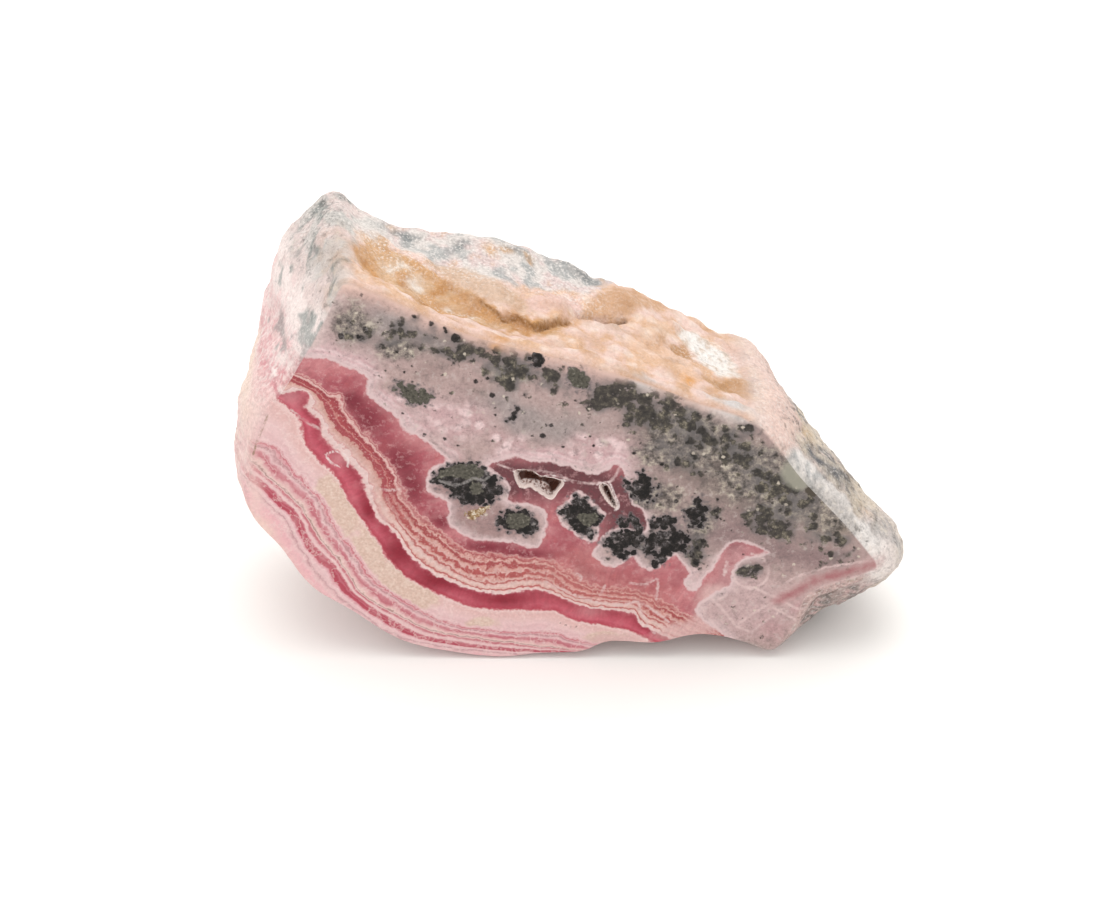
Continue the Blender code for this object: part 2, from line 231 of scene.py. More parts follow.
# Thin pale seams in the rose and in the matrix, glassy glints (white lines, partly pale fracture,
# partly painted highlight), the rose stripe above the broken ledge, and hair cracks
SEAMS = [
    [(-1.1, -21.3), (2.4, -23.3), (5.8, -24.7), (9.2, -25.3), (11.8, -24.7), (12.2, -26.1), (13.1, -28.1),
     (14.3, -30.0)],
    [(12.4, -24.9), (14.0, -26.1), (16.2, -28.1)],
    [(7.2, -22.1), (6.5, -23.7)],
    [(3.0, -19.8), (3.9, -20.6), (3.4, -21.9)],
    [(10.7, -21.6), (12.8, -21.8), (14.6, -21.1), (14.4, -24.4)],
    [(24.5, -18.8), (23.8, -20.3), (24.2, -18.1)],
    [(-8.4, -1.9), (-5.0, -3.4), (-2.7, -3.2), (0.2, -3.9), (2.6, -5.0), (5.0, -5.4), (6.8, -5.3),
     (8.0, -4.9),
     (9.1, -2.9)],
    [(-20.6, -6.2), (-22.6, -6.5), (-23.9, -6.2)],
    [(-35.6, 6.2), (-33.4, 4.2), (-31.9, 3.3), (-30.3, 1.8)],
    [(25.0, -19.0), (25.6, -21.4), (27.6, -22.6), (29.4, -21.6), (30.1, -19.6), (29.3, -17.6), (27.6, -16.8)],
    [(20.5, -25.1), (22.2, -24.3), (24.2, -26.6), (25.8, -28.8)],
    [(20.5, -25.1), (21.7, -27.3), (23.6, -29.8)],
    [(26.1, -28.5), (27.3, -27.3), (29.8, -25.5), (31.6, -24.2), (32.6, -23.8)],
    [(25.8, -28.8), (28.1, -29.8), (29.0, -28.8), (31.1, -27.0), (32.3, -25.8)],
    [(31.1, -25.8), (34.0, -27.7), (34.3, -28.5), (34.1, -30.4)],
    [(31.6, -24.2), (34.2, -25.8), (35.5, -25.8)],
    [(23.2, -24.3), (24.4, -23.6), (25.9, -22.5), (27.8, -22.3), (29.7, -23.2), (31.6, -24.2)],
    [(32.3, -21.8), (34.0, -20.6), (37.1, -19.3), (40.2, -18.6), (44.5, -17.9)],
    [(35.4, -24.3), (38.1, -21.9), (40.3, -21.4), (42.2, -20.6), (44.3, -20.4)],
]
GLINTS = [
    [(-31.2, -0.8), (-29.9, -0.3), (-28.6, -0.8), (-28.1, -1.6), (-28.2, -2.7)],
    [(-31.0, -1.3), (-30.2, -2.3), (-29.2, -2.7)],
    [(-5.4, -3.5), (-2.9, -3.6), (-1.8, -4.3), (0.0, -4.2), (1.6, -5.0)],
    [(6.0, -5.5), (7.6, -5.3), (8.3, -6.9), (9.0, -9.0), (8.5, -9.7)],
]
STRIPES = [[(31.6, -24.6), (34.7, -22.5), (37.2, -21.0), (40.3, -20.1), (43.3, -19.0), (45.4, -18.3)]]
CRACKS = [
    [(-38.7, 5.4), (-39.7, 3.1), (-40.6, 0.7), (-41.1, -0.9)],
    [(35.8, -24.6), (36.9, -23.4), (37.6, -22.9)],
    [(41.2, -21.4), (42.6, -21.2), (44.4, -20.8)],
]
HAIRS = [
    [(36.2, -19.9), (37.7, -18.6), (39.2, -17.5), (41.3, -16.6)],
    [(-16.6, 1.4), (-15.4, 0.2), (-14.2, -1.2)],
]
# The deep part of each vug mouth, painted dark brown: painted shade under the overhanging rim, partly dark
# druse
DARK_DRUSE_AND_SHADE = [
    [(-5.0, -3.7), (-2.8, -3.9), (-1.7, -4.7), (-0.1, -4.8), (1.0, -5.3), (0.3, -6.5), (-0.4, -7.1),
     (-0.8, -5.9),
     (-1.6, -5.4), (-2.6, -5.1), (-3.8, -4.9), (-4.6, -5.0)],
    [(6.6, -5.9), (7.3, -5.9), (7.9, -7.2), (8.6, -9.0), (8.3, -9.1), (7.5, -7.7)],
]
GREY_VEINS = [[(-15.6, -5.0), (-13.8, -5.6), (-12.2, -5.3), (-11.0, -4.6), (-9.7, -4.9), (-8.9, -4.4)]]
DARK_LAYER = [(-28.5, 18.0), (-21.0, 18.3), (-12.0, 15.6), (-5.0, 12.8), (3.5, 10.2), (9.0, 8.2), (15.5, 5.4),
              (22.5, 1.8), (29.5, -4.0), (34.0, -8.4), (39.5, -15.6)]

# Dark fine-grained sulphide clouds of the matrix: (u, v, half widths, strength)
CLOUDS = [
    (-20.8, 18.7, 1.1, 1.2, 1.0), (-27.9, 17.4, 0.8, 0.6, 0.9), (-25.6, 16.9, 0.7, 0.5, 0.8),
    (-24.7, 18.3, 0.5, 0.5, 0.8), (-27.1, 19.9, 1.1, 1.5, 0.3), (-17.9, 17.2, 1.9, 1.2, 0.45),
    (-22.6, 16.6, 1.6, 0.9, 0.6), (-12.9, 17.2, 0.7, 0.9, 0.9), (-14.2, 18.4, 0.5, 0.8, 0.8),
    (-16.0, 19.0, 0.5, 0.5, 0.9), (-18.3, 20.1, 0.7, 0.5, 0.8), (-11.5, 15.1, 1.3, 1.2, 0.9),
    (-13.2, 14.6, 1.1, 0.9, 0.7), (-15.2, 15.1, 0.8, 0.6, 0.5), (-6.5, 13.1, 2.4, 2.1, 0.8),
    (-5.9, 10.1, 1.3, 1.2, 0.7), (-0.3, 10.8, 1.2, 1.4, 0.8), (7.0, 9.0, 1.6, 1.5, 0.7),
    (9.2, 9.6, 1.1, 1.2, 0.9), (6.0, 7.0, 0.8, 0.9, 0.8), (7.9, 7.7, 1.9, 1.2, 0.7),
    (11.7, 8.3, 1.4, 1.0, 0.25), (18.2, 5.7, 1.8, 1.0, 0.30), (-4.3, 12.9, 1.2, 1.0, 0.5),
    (15.5, 7.7, 1.1, 1.2, 0.9), (12.4, 6.2, 1.4, 1.6, 0.8), (13.8, 4.6, 1.6, 1.2, 0.8),
    (10.1, 4.6, 1.1, 1.9, 0.6), (18.6, 3.8, 1.6, 1.3, 0.7), (20.0, 1.5, 2.0, 1.6, 0.4),
    (14.5, 0.7, 1.9, 1.3, 0.5), (17.3, -1.7, 1.9, 1.4, 0.7), (20.1, -3.6, 1.4, 0.8, 0.5),
    (24.0, 2.3, 1.4, 0.9, 0.5), (24.8, -0.1, 1.9, 1.6, 0.4), (28.3, -4.0, 1.1, 1.3, 0.8),
    (26.7, 3.1, 1.1, 0.9, 0.5), (26.2, -1.7, 0.8, 1.9, 0.4), (31.8, -5.6, 1.9, 1.3, 0.8),
    (29.1, -6.1, 1.9, 0.8, 0.8), (34.0, -8.0, 2.2, 1.4, 0.35), (28.6, -10.5, 1.9, 1.6, 0.9),
    (31.4, -12.9, 1.7, 1.3, 1.0), (28.9, -12.6, 1.1, 1.0, 0.9), (35.4, -12.0, 0.8, 1.2, 0.25),
    (33.6, -9.9, 1.2, 1.2, 0.3), (40.3, -14.5, 1.1, 0.7, 0.9), (37.0, -14.2, 1.4, 0.8, 0.35),
    (39.3, -16.8, 1.7, 0.6, 0.2), (26.5, -10.5, 0.6, 0.6, 0.6), (27.3, -19.6, 1.5, 1.0, 1.5),
    (19.9, -17.4, 1.1, 1.3, 1.0), (20.4, -14.9, 0.9, 0.9, 0.8), (22.4, -10.3, 0.6, 0.9, 0.7),
    (11.0, -14.6, 2.6, 3.0, 0.35), (16.2, -15.2, 3.4, 3.0, 0.35), (12.0, -5.8, 2.2, 1.8, 0.3),
]
SPECKS = [   # single dark grains: (u, v, radius)
    (-25.5, 23.7, 0.25), (-18.6, 20.5, 0.35), (-16.3, 19.4, 0.4), (-14.5, 18.7, 0.3), (-14.4, 18.1, 0.25),
    (-13.1, 17.2, 0.7), (-8.9, 11.1, 0.3), (-10.5, 10.6, 0.38), (-8.3, 8.5, 0.42), (-20.5, 5.6, 0.25),
    (-25.1, 18.5, 0.42), (-28.4, 17.5, 0.45), (-26.1, 17.4, 0.35), (-17.6, 2.3, 0.3), (-14.8, 1.7, 0.3),
    (-13.0, 0.6, 0.22), (-2.3, 14.5, 0.66), (-1.7, 13.8, 0.62), (-2.4, 13.9, 0.5), (-5.9, 4.8, 0.35),
    (-5.4, 5.5, 0.40), (-4.8, 6.3, 0.40), (-7.9, 5.4, 0.25), (-1.5, 2.2, 0.45), (-0.3, 3.8, 0.35),
    (-2.9, 2.2, 0.2), (-8.0, 3.5, 0.18), (1.3, 0.4, 0.25), (5.5, 0.6, 0.25), (5.0, 2.1, 0.25),
    (11.0, -0.6, 0.3),
    (14.9, -2.3, 0.35), (3.0, 7.7, 0.25), (16.9, -8.2, 0.35), (20.8, -14.7, 0.40), (20.0, -15.8, 0.30),
    (19.9, -18.1, 0.55), (19.3, -17.0, 0.45), (20.6, -17.3, 0.3), (22.5, -9.8, 0.35), (22.6, -10.8, 0.30),
    (23.2, -11.1, 0.2), (21.4, -12.5, 0.2), (-21.0, 15.1, 0.25), (-21.2, 13.9, 0.2), (-20.0, 15.3, 0.2),
    (-18.9, 14.5, 0.25), (-19.0, 13.0, 0.25), (-18.5, 12.0, 0.2), (-20.1, 12.0, 0.25), (-20.8, 13.0, 0.2),
    (1.0, -28.4, 0.14), (1.7, -28.6, 0.14), (2.4, -28.8, 0.14), (3.2, -28.9, 0.14), (2.8, 11.9, 0.9),
    (3.3, 10.7, 0.9), (4.4, 10.9, 0.6), (13.0, -16.2, 0.35), (22.6, -8.0, 0.25), (26.4, -16.9, 0.2),
]

# Patches of the vein pattern, as (u, v, half widths)
PATCHES = {
    "mottle": [
        (-13.4, 2.8, 1.6, 1.6), (-10.3, 3.8, 1.4, 1.3), (-7.7, 2.0, 1.2, 1.3), (-6.2, 0.6, 1.1, 1.4),
        (-6.6, -1.3, 1.9, 1.3), (-11.3, 5.9, 1.4, 1.2), (-15.4, 5.9, 2.2, 1.2), (-16.8, 3.8, 1.6, 0.9),
        (0.9, -0.9, 4.1, 1.3), (6.4, -0.9, 2.7, 1.6), (4.3, 1.5, 2.0, 0.9), (-21.4, 7.7, 1.4, 0.9),
        (-23.1, 8.0, 1.1, 0.9), (-24.4, 11.6, 1.6, 0.8), (-27.3, 13.6, 1.9, 0.6), (-30.0, 14.3, 2.1, 0.6),
        (-4.6, 0.7, 1.1, 1.6), (-1.8, -0.9, 1.6, 0.9), (8.0, 0.7, 1.9, 1.3), (19.6, -21.5, 1.2, 2.4)],
    "layered": [
        (-31.5, 15.6, 4.0, 2.0), (-26.0, 13.0, 3.0, 2.2), (-22.5, 8.6, 2.2, 2.6), (-18.5, 4.6, 2.6, 2.0),
        (-13.0, 0.6, 2.6, 2.0), (0.0, -1.2, 6.5, 1.8), (8.5, -1.2, 2.6, 2.2), (11.8, -6.0, 1.5, 2.5)],
    "maroon": [
        (-1.2, -5.2, 6.9, 3.5), (-6.7, -4.5, 2.7, 2.9), (9.9, -8.8, 2.8, 4.8), (6.4, -7.2, 2.8, 3.5),
        (12.0, -12.1, 1.9, 1.9), (1.6, -3.2, 4.1, 1.3), (9.0, -14.5, 2.6, 2.6)],
    "beige": [
        (-31.0, -6.6, 1.9, 2.6), (-28.8, -10.3, 2.2, 3.0), (-25.5, -15.8, 2.6, 3.2), (-22.2, -20.8, 2.8, 2.6),
        (-18.8, -23.9, 3.0, 2.0), (-10.0, -28.2, 2.6, 0.8), (7.0, -30.6, 3.6, 1.0)],
    "salmon": [
        (7.9, -22.0, 7.7, 3.4), (0.9, -20.0, 3.6, 2.2), (13.6, -24.0, 3.4, 2.3), (4.4, -17.8, 3.0, 2.5)],
    "shadow": [
        (-25.2, 4.6, 2.4, 2.6), (-21.2, -1.6, 2.3, 2.8), (-19.4, -6.0, 1.8, 2.6), (-27.5, 7.7, 2.2, 1.6),
        (-9.0, -15.6, 4.0, 0.9), (-4.0, -17.0, 5.0, 0.8), (-15.6, -11.6, 1.4, 1.2), (24.8, -15.6, 2.2, 0.9)],
    "deep": [(-21.8, -16.6, 2.2, 2.6), (-16.6, -21.2, 3.8, 1.8), (-7.0, -24.4, 4.0, 1.2),
             (-25.6, -9.6, 1.2, 1.8)],
    "blush": [
        (-31.5, 12.8, 4.0, 1.4), (-19.0, 1.3, 2.0, 1.3), (-29.4, -1.6, 1.2, 1.3), (-35.6, 8.2, 1.8, 1.2),
        (-13.5, -13.4, 2.4, 0.9), (-3.0, -20.0, 2.0, 1.6), (22.4, -20.6, 1.6, 3.0), (18.0, -24.0, 2.5, 1.6),
        (24.8, -17.0, 2.6, 2.2), (5.0, -26.4, 1.8, 0.9)],
    "frost": [
        (18.0, -29.8, 3.4, 1.6), (23.0, -23.4, 2.2, 1.6), (22.0, -27.0, 2.6, 3.0), (8.5, -31.0, 4.5, 1.0)],
    "worn": [(-42.6, -1.6, 1.8, 3.6), (-41.8, 3.6, 2.0, 3.0), (-41.0, -7.5, 1.0, 3.0)],
    "pale ribs": [(0.9, -20.6, 3.4, 1.4), (-10.0, -19.6, 3.0, 1.3)],
    "bare": [(26.2, -13.6, 3.4, 1.8), (30.5, -16.2, 3.0, 1.8), (22.4, -15.2, 1.4, 2.0)],
    "dusky": [(25.8, -16.6, 2.4, 2.0), (24.4, -20.4, 1.8, 2.8), (22.6, -23.0, 2.0, 1.6)],
    "grit": [
        (39.0, -11.0, 3.0, 2.8), (20.0, 1.5, 4.5, 2.9), (-20.6, 15.4, 2.7, 1.5), (9.9, -7.2, 2.8, 1.9),
        (14.7, -8.0, 2.8, 1.9), (20.3, -11.3, 1.7, 2.3), (28.0, -4.0, 6.5, 4.5), (34.0, -8.0, 4.0, 3.0),
        (17.0, 3.0, 4.0, 3.0), (-5.8, 12.0, 3.0, 2.0), (-27.0, 19.5, 2.5, 2.5), (14.0, -1.0, 3.0, 2.0)],
    "pepper": [
        (22.8, -3.2, 9.0, 6.4), (31.4, -11.3, 7.0, 5.0), (14.5, 3.1, 5.0, 4.0), (-22.0, 18.0, 6.0, 3.0),
        (0.0, 4.0, 8.0, 3.4), (20.0, -12.0, 3.0, 4.0)],
    "glass": [(32.4, -3.6, 1.5, 2.0), (34.0, -5.4, 1.3, 1.3)],
    "wedge": [(35.9, -6.9, 1.0, 0.7), (35.2, -6.4, 0.7, 0.5)],
}

# The thin lines by name, and all the numbers that the finishes read at a point
LINES = {
    "seam": SEAMS, "glint": GLINTS, "stripe": STRIPES, "crack": CRACKS, "hair": HAIRS,
    "vein line": GREY_VEINS,
}
VALUES = ("band", "run", "rose", "cloud", "sulphide", "olive", "gold", "speck", "dark_druse_and_shade", "druse", "rim",
          "top", "sugary", "rubble", "vein", "ledge", "cave", "low crack", *LINES, *PATCHES)

MATRIX_TONES = [   # (colour, strength, patches)
    ("a58d89", 0.8, [(-10.0, 8.0, 3.6, 3.0), (-16.5, 12.5, 2.6, 1.6)]),
    ("8f8480", 0.75, [(-24.6, 17.8, 4.6, 2.2), (-15.5, 16.4, 4.4, 1.7)]),
    ("9f9694", 0.75, [(0.9, 3.1, 5.4, 2.8), (-4.6, 4.6, 2.7, 2.3), (-21.1, 19.6, 4.7, 2.6),
                      (-7.2, 7.7, 2.7, 2.3)]),
    ("7a6d67", 0.9, [(22.8, -3.2, 8.2, 5.4), (31.4, -10.3, 6.9, 4.9), (18.6, 1.5, 5.5, 3.9),
                     (14.5, 4.6, 4.1, 3.4)]),
    ("927979", 0.9, [(24.0, -13.0, 5.0, 2.6), (31.5, -16.8, 5.5, 2.6), (38.5, -17.6, 4.0, 1.8),
                     (12.5, -7.5, 2.5, 2.0)]),
    ("b5a690", 0.9, [(39.4, -11.0, 3.0, 3.0)]),
    ("ceb0b0", 0.75, [(22.0, -27.0, 6.0, 5.0), (30.0, -26.0, 5.0, 4.0), (26.5, -21.5, 3.5, 1.6)]),
    ("c3999b", 0.7, [(31.0, -29.5, 2.8, 2.0), (34.0, -25.0, 1.5, 1.2)]),
    ("d9b9bb", 0.7, [(-30.5, 15.5, 2.2, 3.0), (-27.0, 14.5, 4.0, 1.4), (-15.0, 5.0, 6.0, 3.0),
                     (8.0, -1.0, 6.0, 2.4)]),
    ("a48684", 0.9, [(-14.5, -6.0, 3.6, 4.6), (-7.5, -11.5, 6.5, 3.4), (4.0, -10.5, 3.4, 4.0),
                     (-12.0, -11.5, 3.0, 3.0)]),
    ("8b7f7d", 0.8, [(11.0, -14.5, 2.5, 3.0), (16.0, -15.0, 4.0, 3.4), (20.0, -11.5, 1.8, 3.4),
                     (12.0, -6.0, 2.5, 2.0)]),
]

# Weathered zones and spots of the broken wall, in the flat of the top or of the right wall
AMBER = [
    (-26.4, 10.2), (-25.2, 16.9), (-23.8, 19.8), (-21.9, 16.9), (-19.4, 16.2), (-17.0, 15.5), (-15.2, 13.4),
    (-12.2, 12.8), (-9.4, 11.5), (-8.2, 9.8), (-6.1, 8.8), (-4.4, 9.8), (-2.4, 8.0), (1.7, 10.4), (-0.6, 6.1),
    (-2.9, 5.0), (-5.3, 6.0), (-9.4, 5.6), (-12.8, 5.6), (-15.1, 5.4), (-17.4, 6.0), (-19.9, 4.5),
    (-23.0, 5.0),
    (-25.4, 5.5)]
TOP_ZONES = {   # name: (colour, amount, softness of its edge, outline as (u, w))
    "amber": ("d2a271", 0.95, 0.8, AMBER),
    "pale amber": ("d8bba4", 0.9, 1.6, [
        (-17.1, 16.9), (-12.4, 17.6), (-8.2, 15.5), (-4.5, 13.4), (-2.4, 9.6), (-8.2, 10.8), (-11.9, 12.8),
        (-15.2, 14.1)]),
    "pink lump": ("ecc9bf", 0.9, 0.8, [
        (-3.3, 12.8), (-0.5, 15.5), (3.2, 16.9), (3.8, 15.5), (1.7, 11.5), (-1.4, 9.6), (-3.8, 10.2)]),
    "peach mound": ("d5aa87", 0.95, 1.2, [
        (4.1, 14.8), (7.1, 19.8), (8.5, 23.6), (11.9, 26.5), (14.6, 23.6), (11.4, 17.6), (7.7, 15.8)]),
    "peach swelling": ("ebc4a6", 0.7, 1.8, [
        (10.7, 12.1), (14.6, 13.4), (18.5, 12.8), (20.1, 5.5), (18.0, 2.6), (14.4, 5.0), (10.2, 8.4)]),
    "pink knob": ("edcdc4", 0.9, 1.8, [
        (26.3, 24.4), (28.6, 22.1), (30.2, 19.1), (30.6, 13.4), (28.4, 10.2), (26.2, 14.1), (24.2, 19.8)]),
    "tan hollow": ("c1946a", 0.95, 0.7, [
        (16.2, 14.8), (18.1, 16.2), (20.0, 14.8), (19.6, 11.5), (17.3, 11.5), (15.6, 13.4)]),
    "lower tan hollow": ("c3966a", 0.95, 0.7, [
        (20.2, 8.4), (22.6, 9.0), (25.5, 10.2), (28.4, 10.2), (27.6, 6.6), (25.8, 5.0), (22.9, 5.5),
        (20.3, 6.1)]),
    "white crust": ("f7f2ed", 1.0, 1.0, [
        (17.0, 18.4), (19.8, 21.3), (22.1, 19.8), (24.5, 18.4), (26.0, 14.8), (25.6, 10.8), (23.2, 10.2),
        (20.7, 11.5), (20.1, 15.4), (18.1, 16.9)]),
}
TOP_SPOTS = [   # (colour, amount, patches as (u, w, half widths))
    ("868b8c", 0.9, [(-21.9, 23.4, 1.6, 1.0), (-19.8, 23.6, 1.2, 0.9), (-13.0, 22.9, 1.4, 0.8),
                     (-5.8, 23.8, 1.4, 0.9), (1.7, 25.0, 1.5, 1.0), (4.6, 24.4, 1.6, 1.0),
                     (-30.9, 24.0, 1.2, 2.0)]),
    ("daab7c", 0.9, [(-8.6, 22.9, 1.2, 0.8), (-6.4, 23.6, 0.9, 0.6), (-3.7, 22.9, 0.8, 0.6),
                     (-24.6, 15.0, 1.2, 2.2)]),
    ("f4ece4", 0.9, [(-22.6, 12.8, 1.0, 0.8), (-20.5, 13.4, 0.8, 0.5), (-18.7, 11.5, 0.6, 1.0),
                     (-14.3, 8.2, 0.7, 0.5), (-12.7, 7.6, 0.6, 0.4), (-11.1, 7.8, 0.5, 0.4)]),
    ("e2a057", 0.9, [(-7.2, 0.4, 1.3, 0.9), (18.8, 5.0, 1.2, 0.7), (-24.0, 8.8, 1.2, 1.0)]),
    ("d5d6d8", 0.9, [(12.2, 0.6, 2.4, 0.9), (25.0, 2.0, 4.0, 1.4)]),
    ("f2d9c6", 0.8, [(13.2, 14.6, 1.3, 0.9), (8.5, 13.0, 0.9, 0.7), (15.0, 16.4, 1.0, 0.8)]),
    ("cdb2a0", 0.85, [(8.0, 12.4, 1.9, 1.0), (17.0, 9.6, 1.6, 0.6)]),
    ("e6e0da", 0.85, [(-25.6, 20.8, 2.4, 3.4), (-28.0, 14.0, 1.2, 4.0), (-20.0, 19.8, 2.0, 1.2)]),
]
RIGHT_SPOTS = [   # (colour, amount, patches as (v, w, half widths))
    ("62666d", 0.95, [(-6.6, 4.6, 2.2, 1.3), (-8.2, 6.6, 1.6, 1.2), (-3.2, 4.2, 1.5, 0.9)]),
    ("d6b890", 0.7, [(-1.6, 9.0, 1.6, 3.0), (-9.0, 8.4, 1.5, 1.5), (-11.6, 4.4, 1.6, 1.2)]),
    ("8e9395", 0.8, [(-15.6, 3.0, 1.8, 1.6), (-18.6, 4.4, 1.2, 1.5)]),
]
# Where the top turns sugary and grey towards the back, as (u, w)
SUGARY_LINE = ((-33.0, 9.0), (-24.0, 20.0), (-17.0, 17.5), (-8.0, 15.5), (0.0, 17.5), (6.0, 20.0),
               (9.0, 27.0))
WHITE_CRUST = [(22.0, 15.5, 3.4, 4.0)]                   # patches as (u, w, half widths)
LACE = [(-21.5, 12.8, 2.4, 1.8), (-13.0, 7.8, 4.0, 0.9), (-17.5, 9.5, 1.2, 1.0)]
# Dark lines along the top's breaks, painted as shade: the shadow under the shelf's lip, the shade in the cave
# under the mound, and the shade in the low crack
BREAK_SHADES = (("ledge", "8f6232", 0.38), ("cave", "4e3324", 0.70),     # (line, colour, half width)
          ("low crack", "9c672f", 0.16))

# The colours along the band number, as (number, colour)
OUTER_BANDS = [
    (0.0, "f2cfc6"), (0.35, "efbfc0"), (0.66, "edb8bd"), (0.84, "edc6c7"), (0.95, "d9adb0"),
    (1.0, "c69b9e"), (1.08, "e6bfc1"), (1.3, "edc9ca"), (1.5, "e0a3ab"), (1.60, "be5665"), (1.82, "b44a5a"),
    (1.95, "c66d7a"), (2.08, "b95361"), (2.24, "cd838d"), (2.36, "ecc8c7"), (2.55, "e9bfc1"),
    (2.68, "cd8189"), (2.80, "c77780"), (2.90, "e9c6c3"), (2.97, "a8847f"), (3.06, "ebcbc4"),
    (3.24, "e0a9ac"), (3.36, "c4707b"), (3.50, "cf8a92"), (3.62, "e9c2c4"), (3.76, "bf8e92"),
    (3.84, "dfa9ae"), (3.93, "c9757f"), (4.0, "e9c6c6")]
MIDDLE_BANDS = [
    (4.0, "d9a0a4"), (4.07, "ecc7c9"), (4.20, "e4bcbd"), (4.35, "ecc8c8"), (4.60, "e8c2bf"),
    (4.80, "e5bbb7"), (4.93, "efcfcb"), (4.98, "cf8388"), (5.05, "b94a5a"), (5.3, "ca6070"),
    (5.6, "ba4f5f"), (5.88, "a63e4e"), (6.0, "b25763")]
INNER_BANDS = [   # where the inner layers are thin and many
    (6.0, "b25763"), (6.05, "d59a9e"), (6.10, "ebd0cd"), (6.27, "e8cac5"), (6.33, "c67672"),
    (6.39, "b35c5d"), (6.44, "ddaea5"), (6.62, "e8cbc4"), (6.80, "dfb3ad"), (6.87, "b5605f"),
    (6.94, "c27873"), (7.00, "e1bab4"), (7.12, "d39b92"), (7.18, "b05656"), (7.31, "b55f5d"),
    (7.37, "deb3ad"), (7.50, "cf948b"), (7.56, "aa5254"), (7.69, "ae5959"), (7.75, "deb0a8"),
    (7.82, "c6857f"), (7.88, "a74e54"), (7.95, "c6817e"), (8.03, "dbaca7"), (8.10, "b8666c"),
    (8.4, "ab5862"), (8.75, "b2626b"), (9.0, "c07a7f")]
FEW_BANDS = [     # where they are thick and few
    (6.0, "b25763"), (6.07, "cf8d90"), (6.15, "e6c6c3"), (6.40, "e9cecb"), (6.46, "d5a09e"),
    (6.54, "dfb9b2"), (6.74, "d6a89f"), (6.88, "d09b92"), (6.94, "ad5659"), (7.20, "a94c54"),
    (7.30, "c98781"), (7.36, "ad5054"), (7.66, "9c424a"), (7.72, "c88583"), (7.80, "e3bdb8"),
    (7.88, "d9a9a4"), (7.95, "b05c64"), (8.03, "dcaaa5"), (8.09, "b5636c"), (8.35, "a9545f"),
    (8.7, "b15c66"), (9.0, "c27e82")]

# The noises of the rock: (size in millimetres, detail, roughness), and its
# rounded cells: (the spot they read, size in millimetres, smoothness)
NOISES = {
    "coarse": (1.6, 3.0, 0.5), "fine": (0.4, 3.0, 0.5), "sugar": (0.30, 2.0, 0.5),
    "gritty": (0.55, 4.0, 0.65), "milky": (3.0, 4.0, 0.6), "crumb": (1.15, 6.0, 0.72),
}
CELLS = {
    "lobes": ("spot", 1.0, 0.4), "pale cells": ("spot", 1.6, 0.6), "knots": ("jumbled", 1.5, 0.35),
    "lumps": ("jumbled", 1.0, 0.1), "shaded_hollows": ("jumbled", 3.0, 0.6),
}
JUMBLE = (1.3, 1.3, 1.3)              # how far the jumbled spot strays, in millimetres
AS_SEEN = 0.80     # the colours are listed as they look under the studio light; this is the stone's own share


# ------------------------------------------------------------- working tools
def place(u, v, w):
    """Point of the face frame, in millimetres, as a point of the scene, in metres."""
    x = FACE_ORIGIN[0] + u
    y = FACE_ORIGIN[1] + v * math.sin(LEAN) + w * math.cos(LEAN)
    z = FACE_ORIGIN[2] + v * math.cos(LEAN) - w * math.sin(LEAN)
    return np.stack(np.broadcast_arrays(x, y, z), axis=-1) * MM


def random_row(cell):
    """Row of a random table for each cell of a cubic lattice: the cell's three
    numbers, each times a prime, added up and cut to the table's length."""
    return (cell @ np.array([73856093, 19349663, 83492791])) & (TABLE - 1)


def noise(points, size, seed):
    """Gradient noise, about -0.7 to 0.7: random slopes at the corners of a
    cubic lattice, blended by 6t^5 - 15t^4 + 10t^3."""
    slopes = np.random.default_rng(seed).normal(size=(TABLE, 3))
    slopes /= np.linalg.norm(slopes, axis=1)[:, None]
    flat = points.reshape(-1, 3) / size
    cell = np.floor(flat).astype(np.int64)
    inside = flat - cell
    blend = inside ** 3 * (inside * (inside * 6 - 15) + 10)
    total = np.zeros(len(flat))
    for corner in np.ndindex(2, 2, 2):
        weight = np.prod(np.where(corner, blend, 1 - blend), axis=1)
        total += weight * np.einsum("ij,ij->i", slopes[random_row(cell + corner)], inside - corner)
    return total.reshape(points.shape[:-1])


def knobbly(points, size, seed):
    """Rounded lumps: 1 at the middle of each random cell of a cubic lattice,
    falling with the square of the distance to the nearest middle."""
    flat = points.reshape(-1, 3) / size
    cell = np.floor(flat).astype(np.int64)
    middles = np.random.default_rng(seed).random((TABLE, 3))
    least = np.full(len(flat), 9.0)
    for shift in np.ndindex(3, 3, 3):
        near = cell + np.array(shift) - 1
        least = np.minimum(least, ((flat - near - middles[random_row(near)]) ** 2).sum(axis=1))
    return 1 - np.minimum(least, 1.0).reshape(points.shape[:-1])


def step(distance, width):
    """Smooth step from 0 to 1 over the given width: 3t^2 - 2t^3."""
    t = np.clip(distance / width + 0.5, 0, 1)
    return t * t * (3 - 2 * t)


def span(x, first, last, into, out):
    """1 between first and last, by a smooth step up and a smooth step down."""
    return step(x - first, into) * (1 - step(x - last, out))


def bell(x, centre, half):
    """Bell curve exp(-((x - centre) / half)^2)."""
    return np.exp(-((x - centre) / half) ** 2)


def soft(u, v, rows):
    """Sum of bells, one for each row (u, v, half widths), kept under 1."""
    return np.clip(sum(bell(u, cu, a) * bell(v, cv, b) for cu, cv, a, b in rows), 0, 1)


def catmull(rows, number):
    """Catmull-Rom curve through a closed list of rows, at any row number:
    each coordinate is a cubic whose slope at a row is half the way between
    the rows on either side of it."""
    first = np.floor(number).astype(int)
    t = (number - first)[:, None]
    before, start, end, after = (rows[(first + k) % len(rows)] for k in (-1, 0, 1, 2))
    return (2 * start + (end - before) * t
            + (2 * before - 5 * start + 4 * end - after) * t ** 2
            + (3 * start - before - 3 * end + after) * t ** 3) / 2


def smooth_line(points, steps=4):
    """Open Catmull-Rom curve through the points."""
    rows = np.array(points, float)
    padded = np.vstack([rows, 2 * rows[-1] - rows[-2], 2 * rows[0] - rows[1]])
    return catmull(padded, np.linspace(0, len(rows) - 1, (len(rows) - 1) * steps + 1))


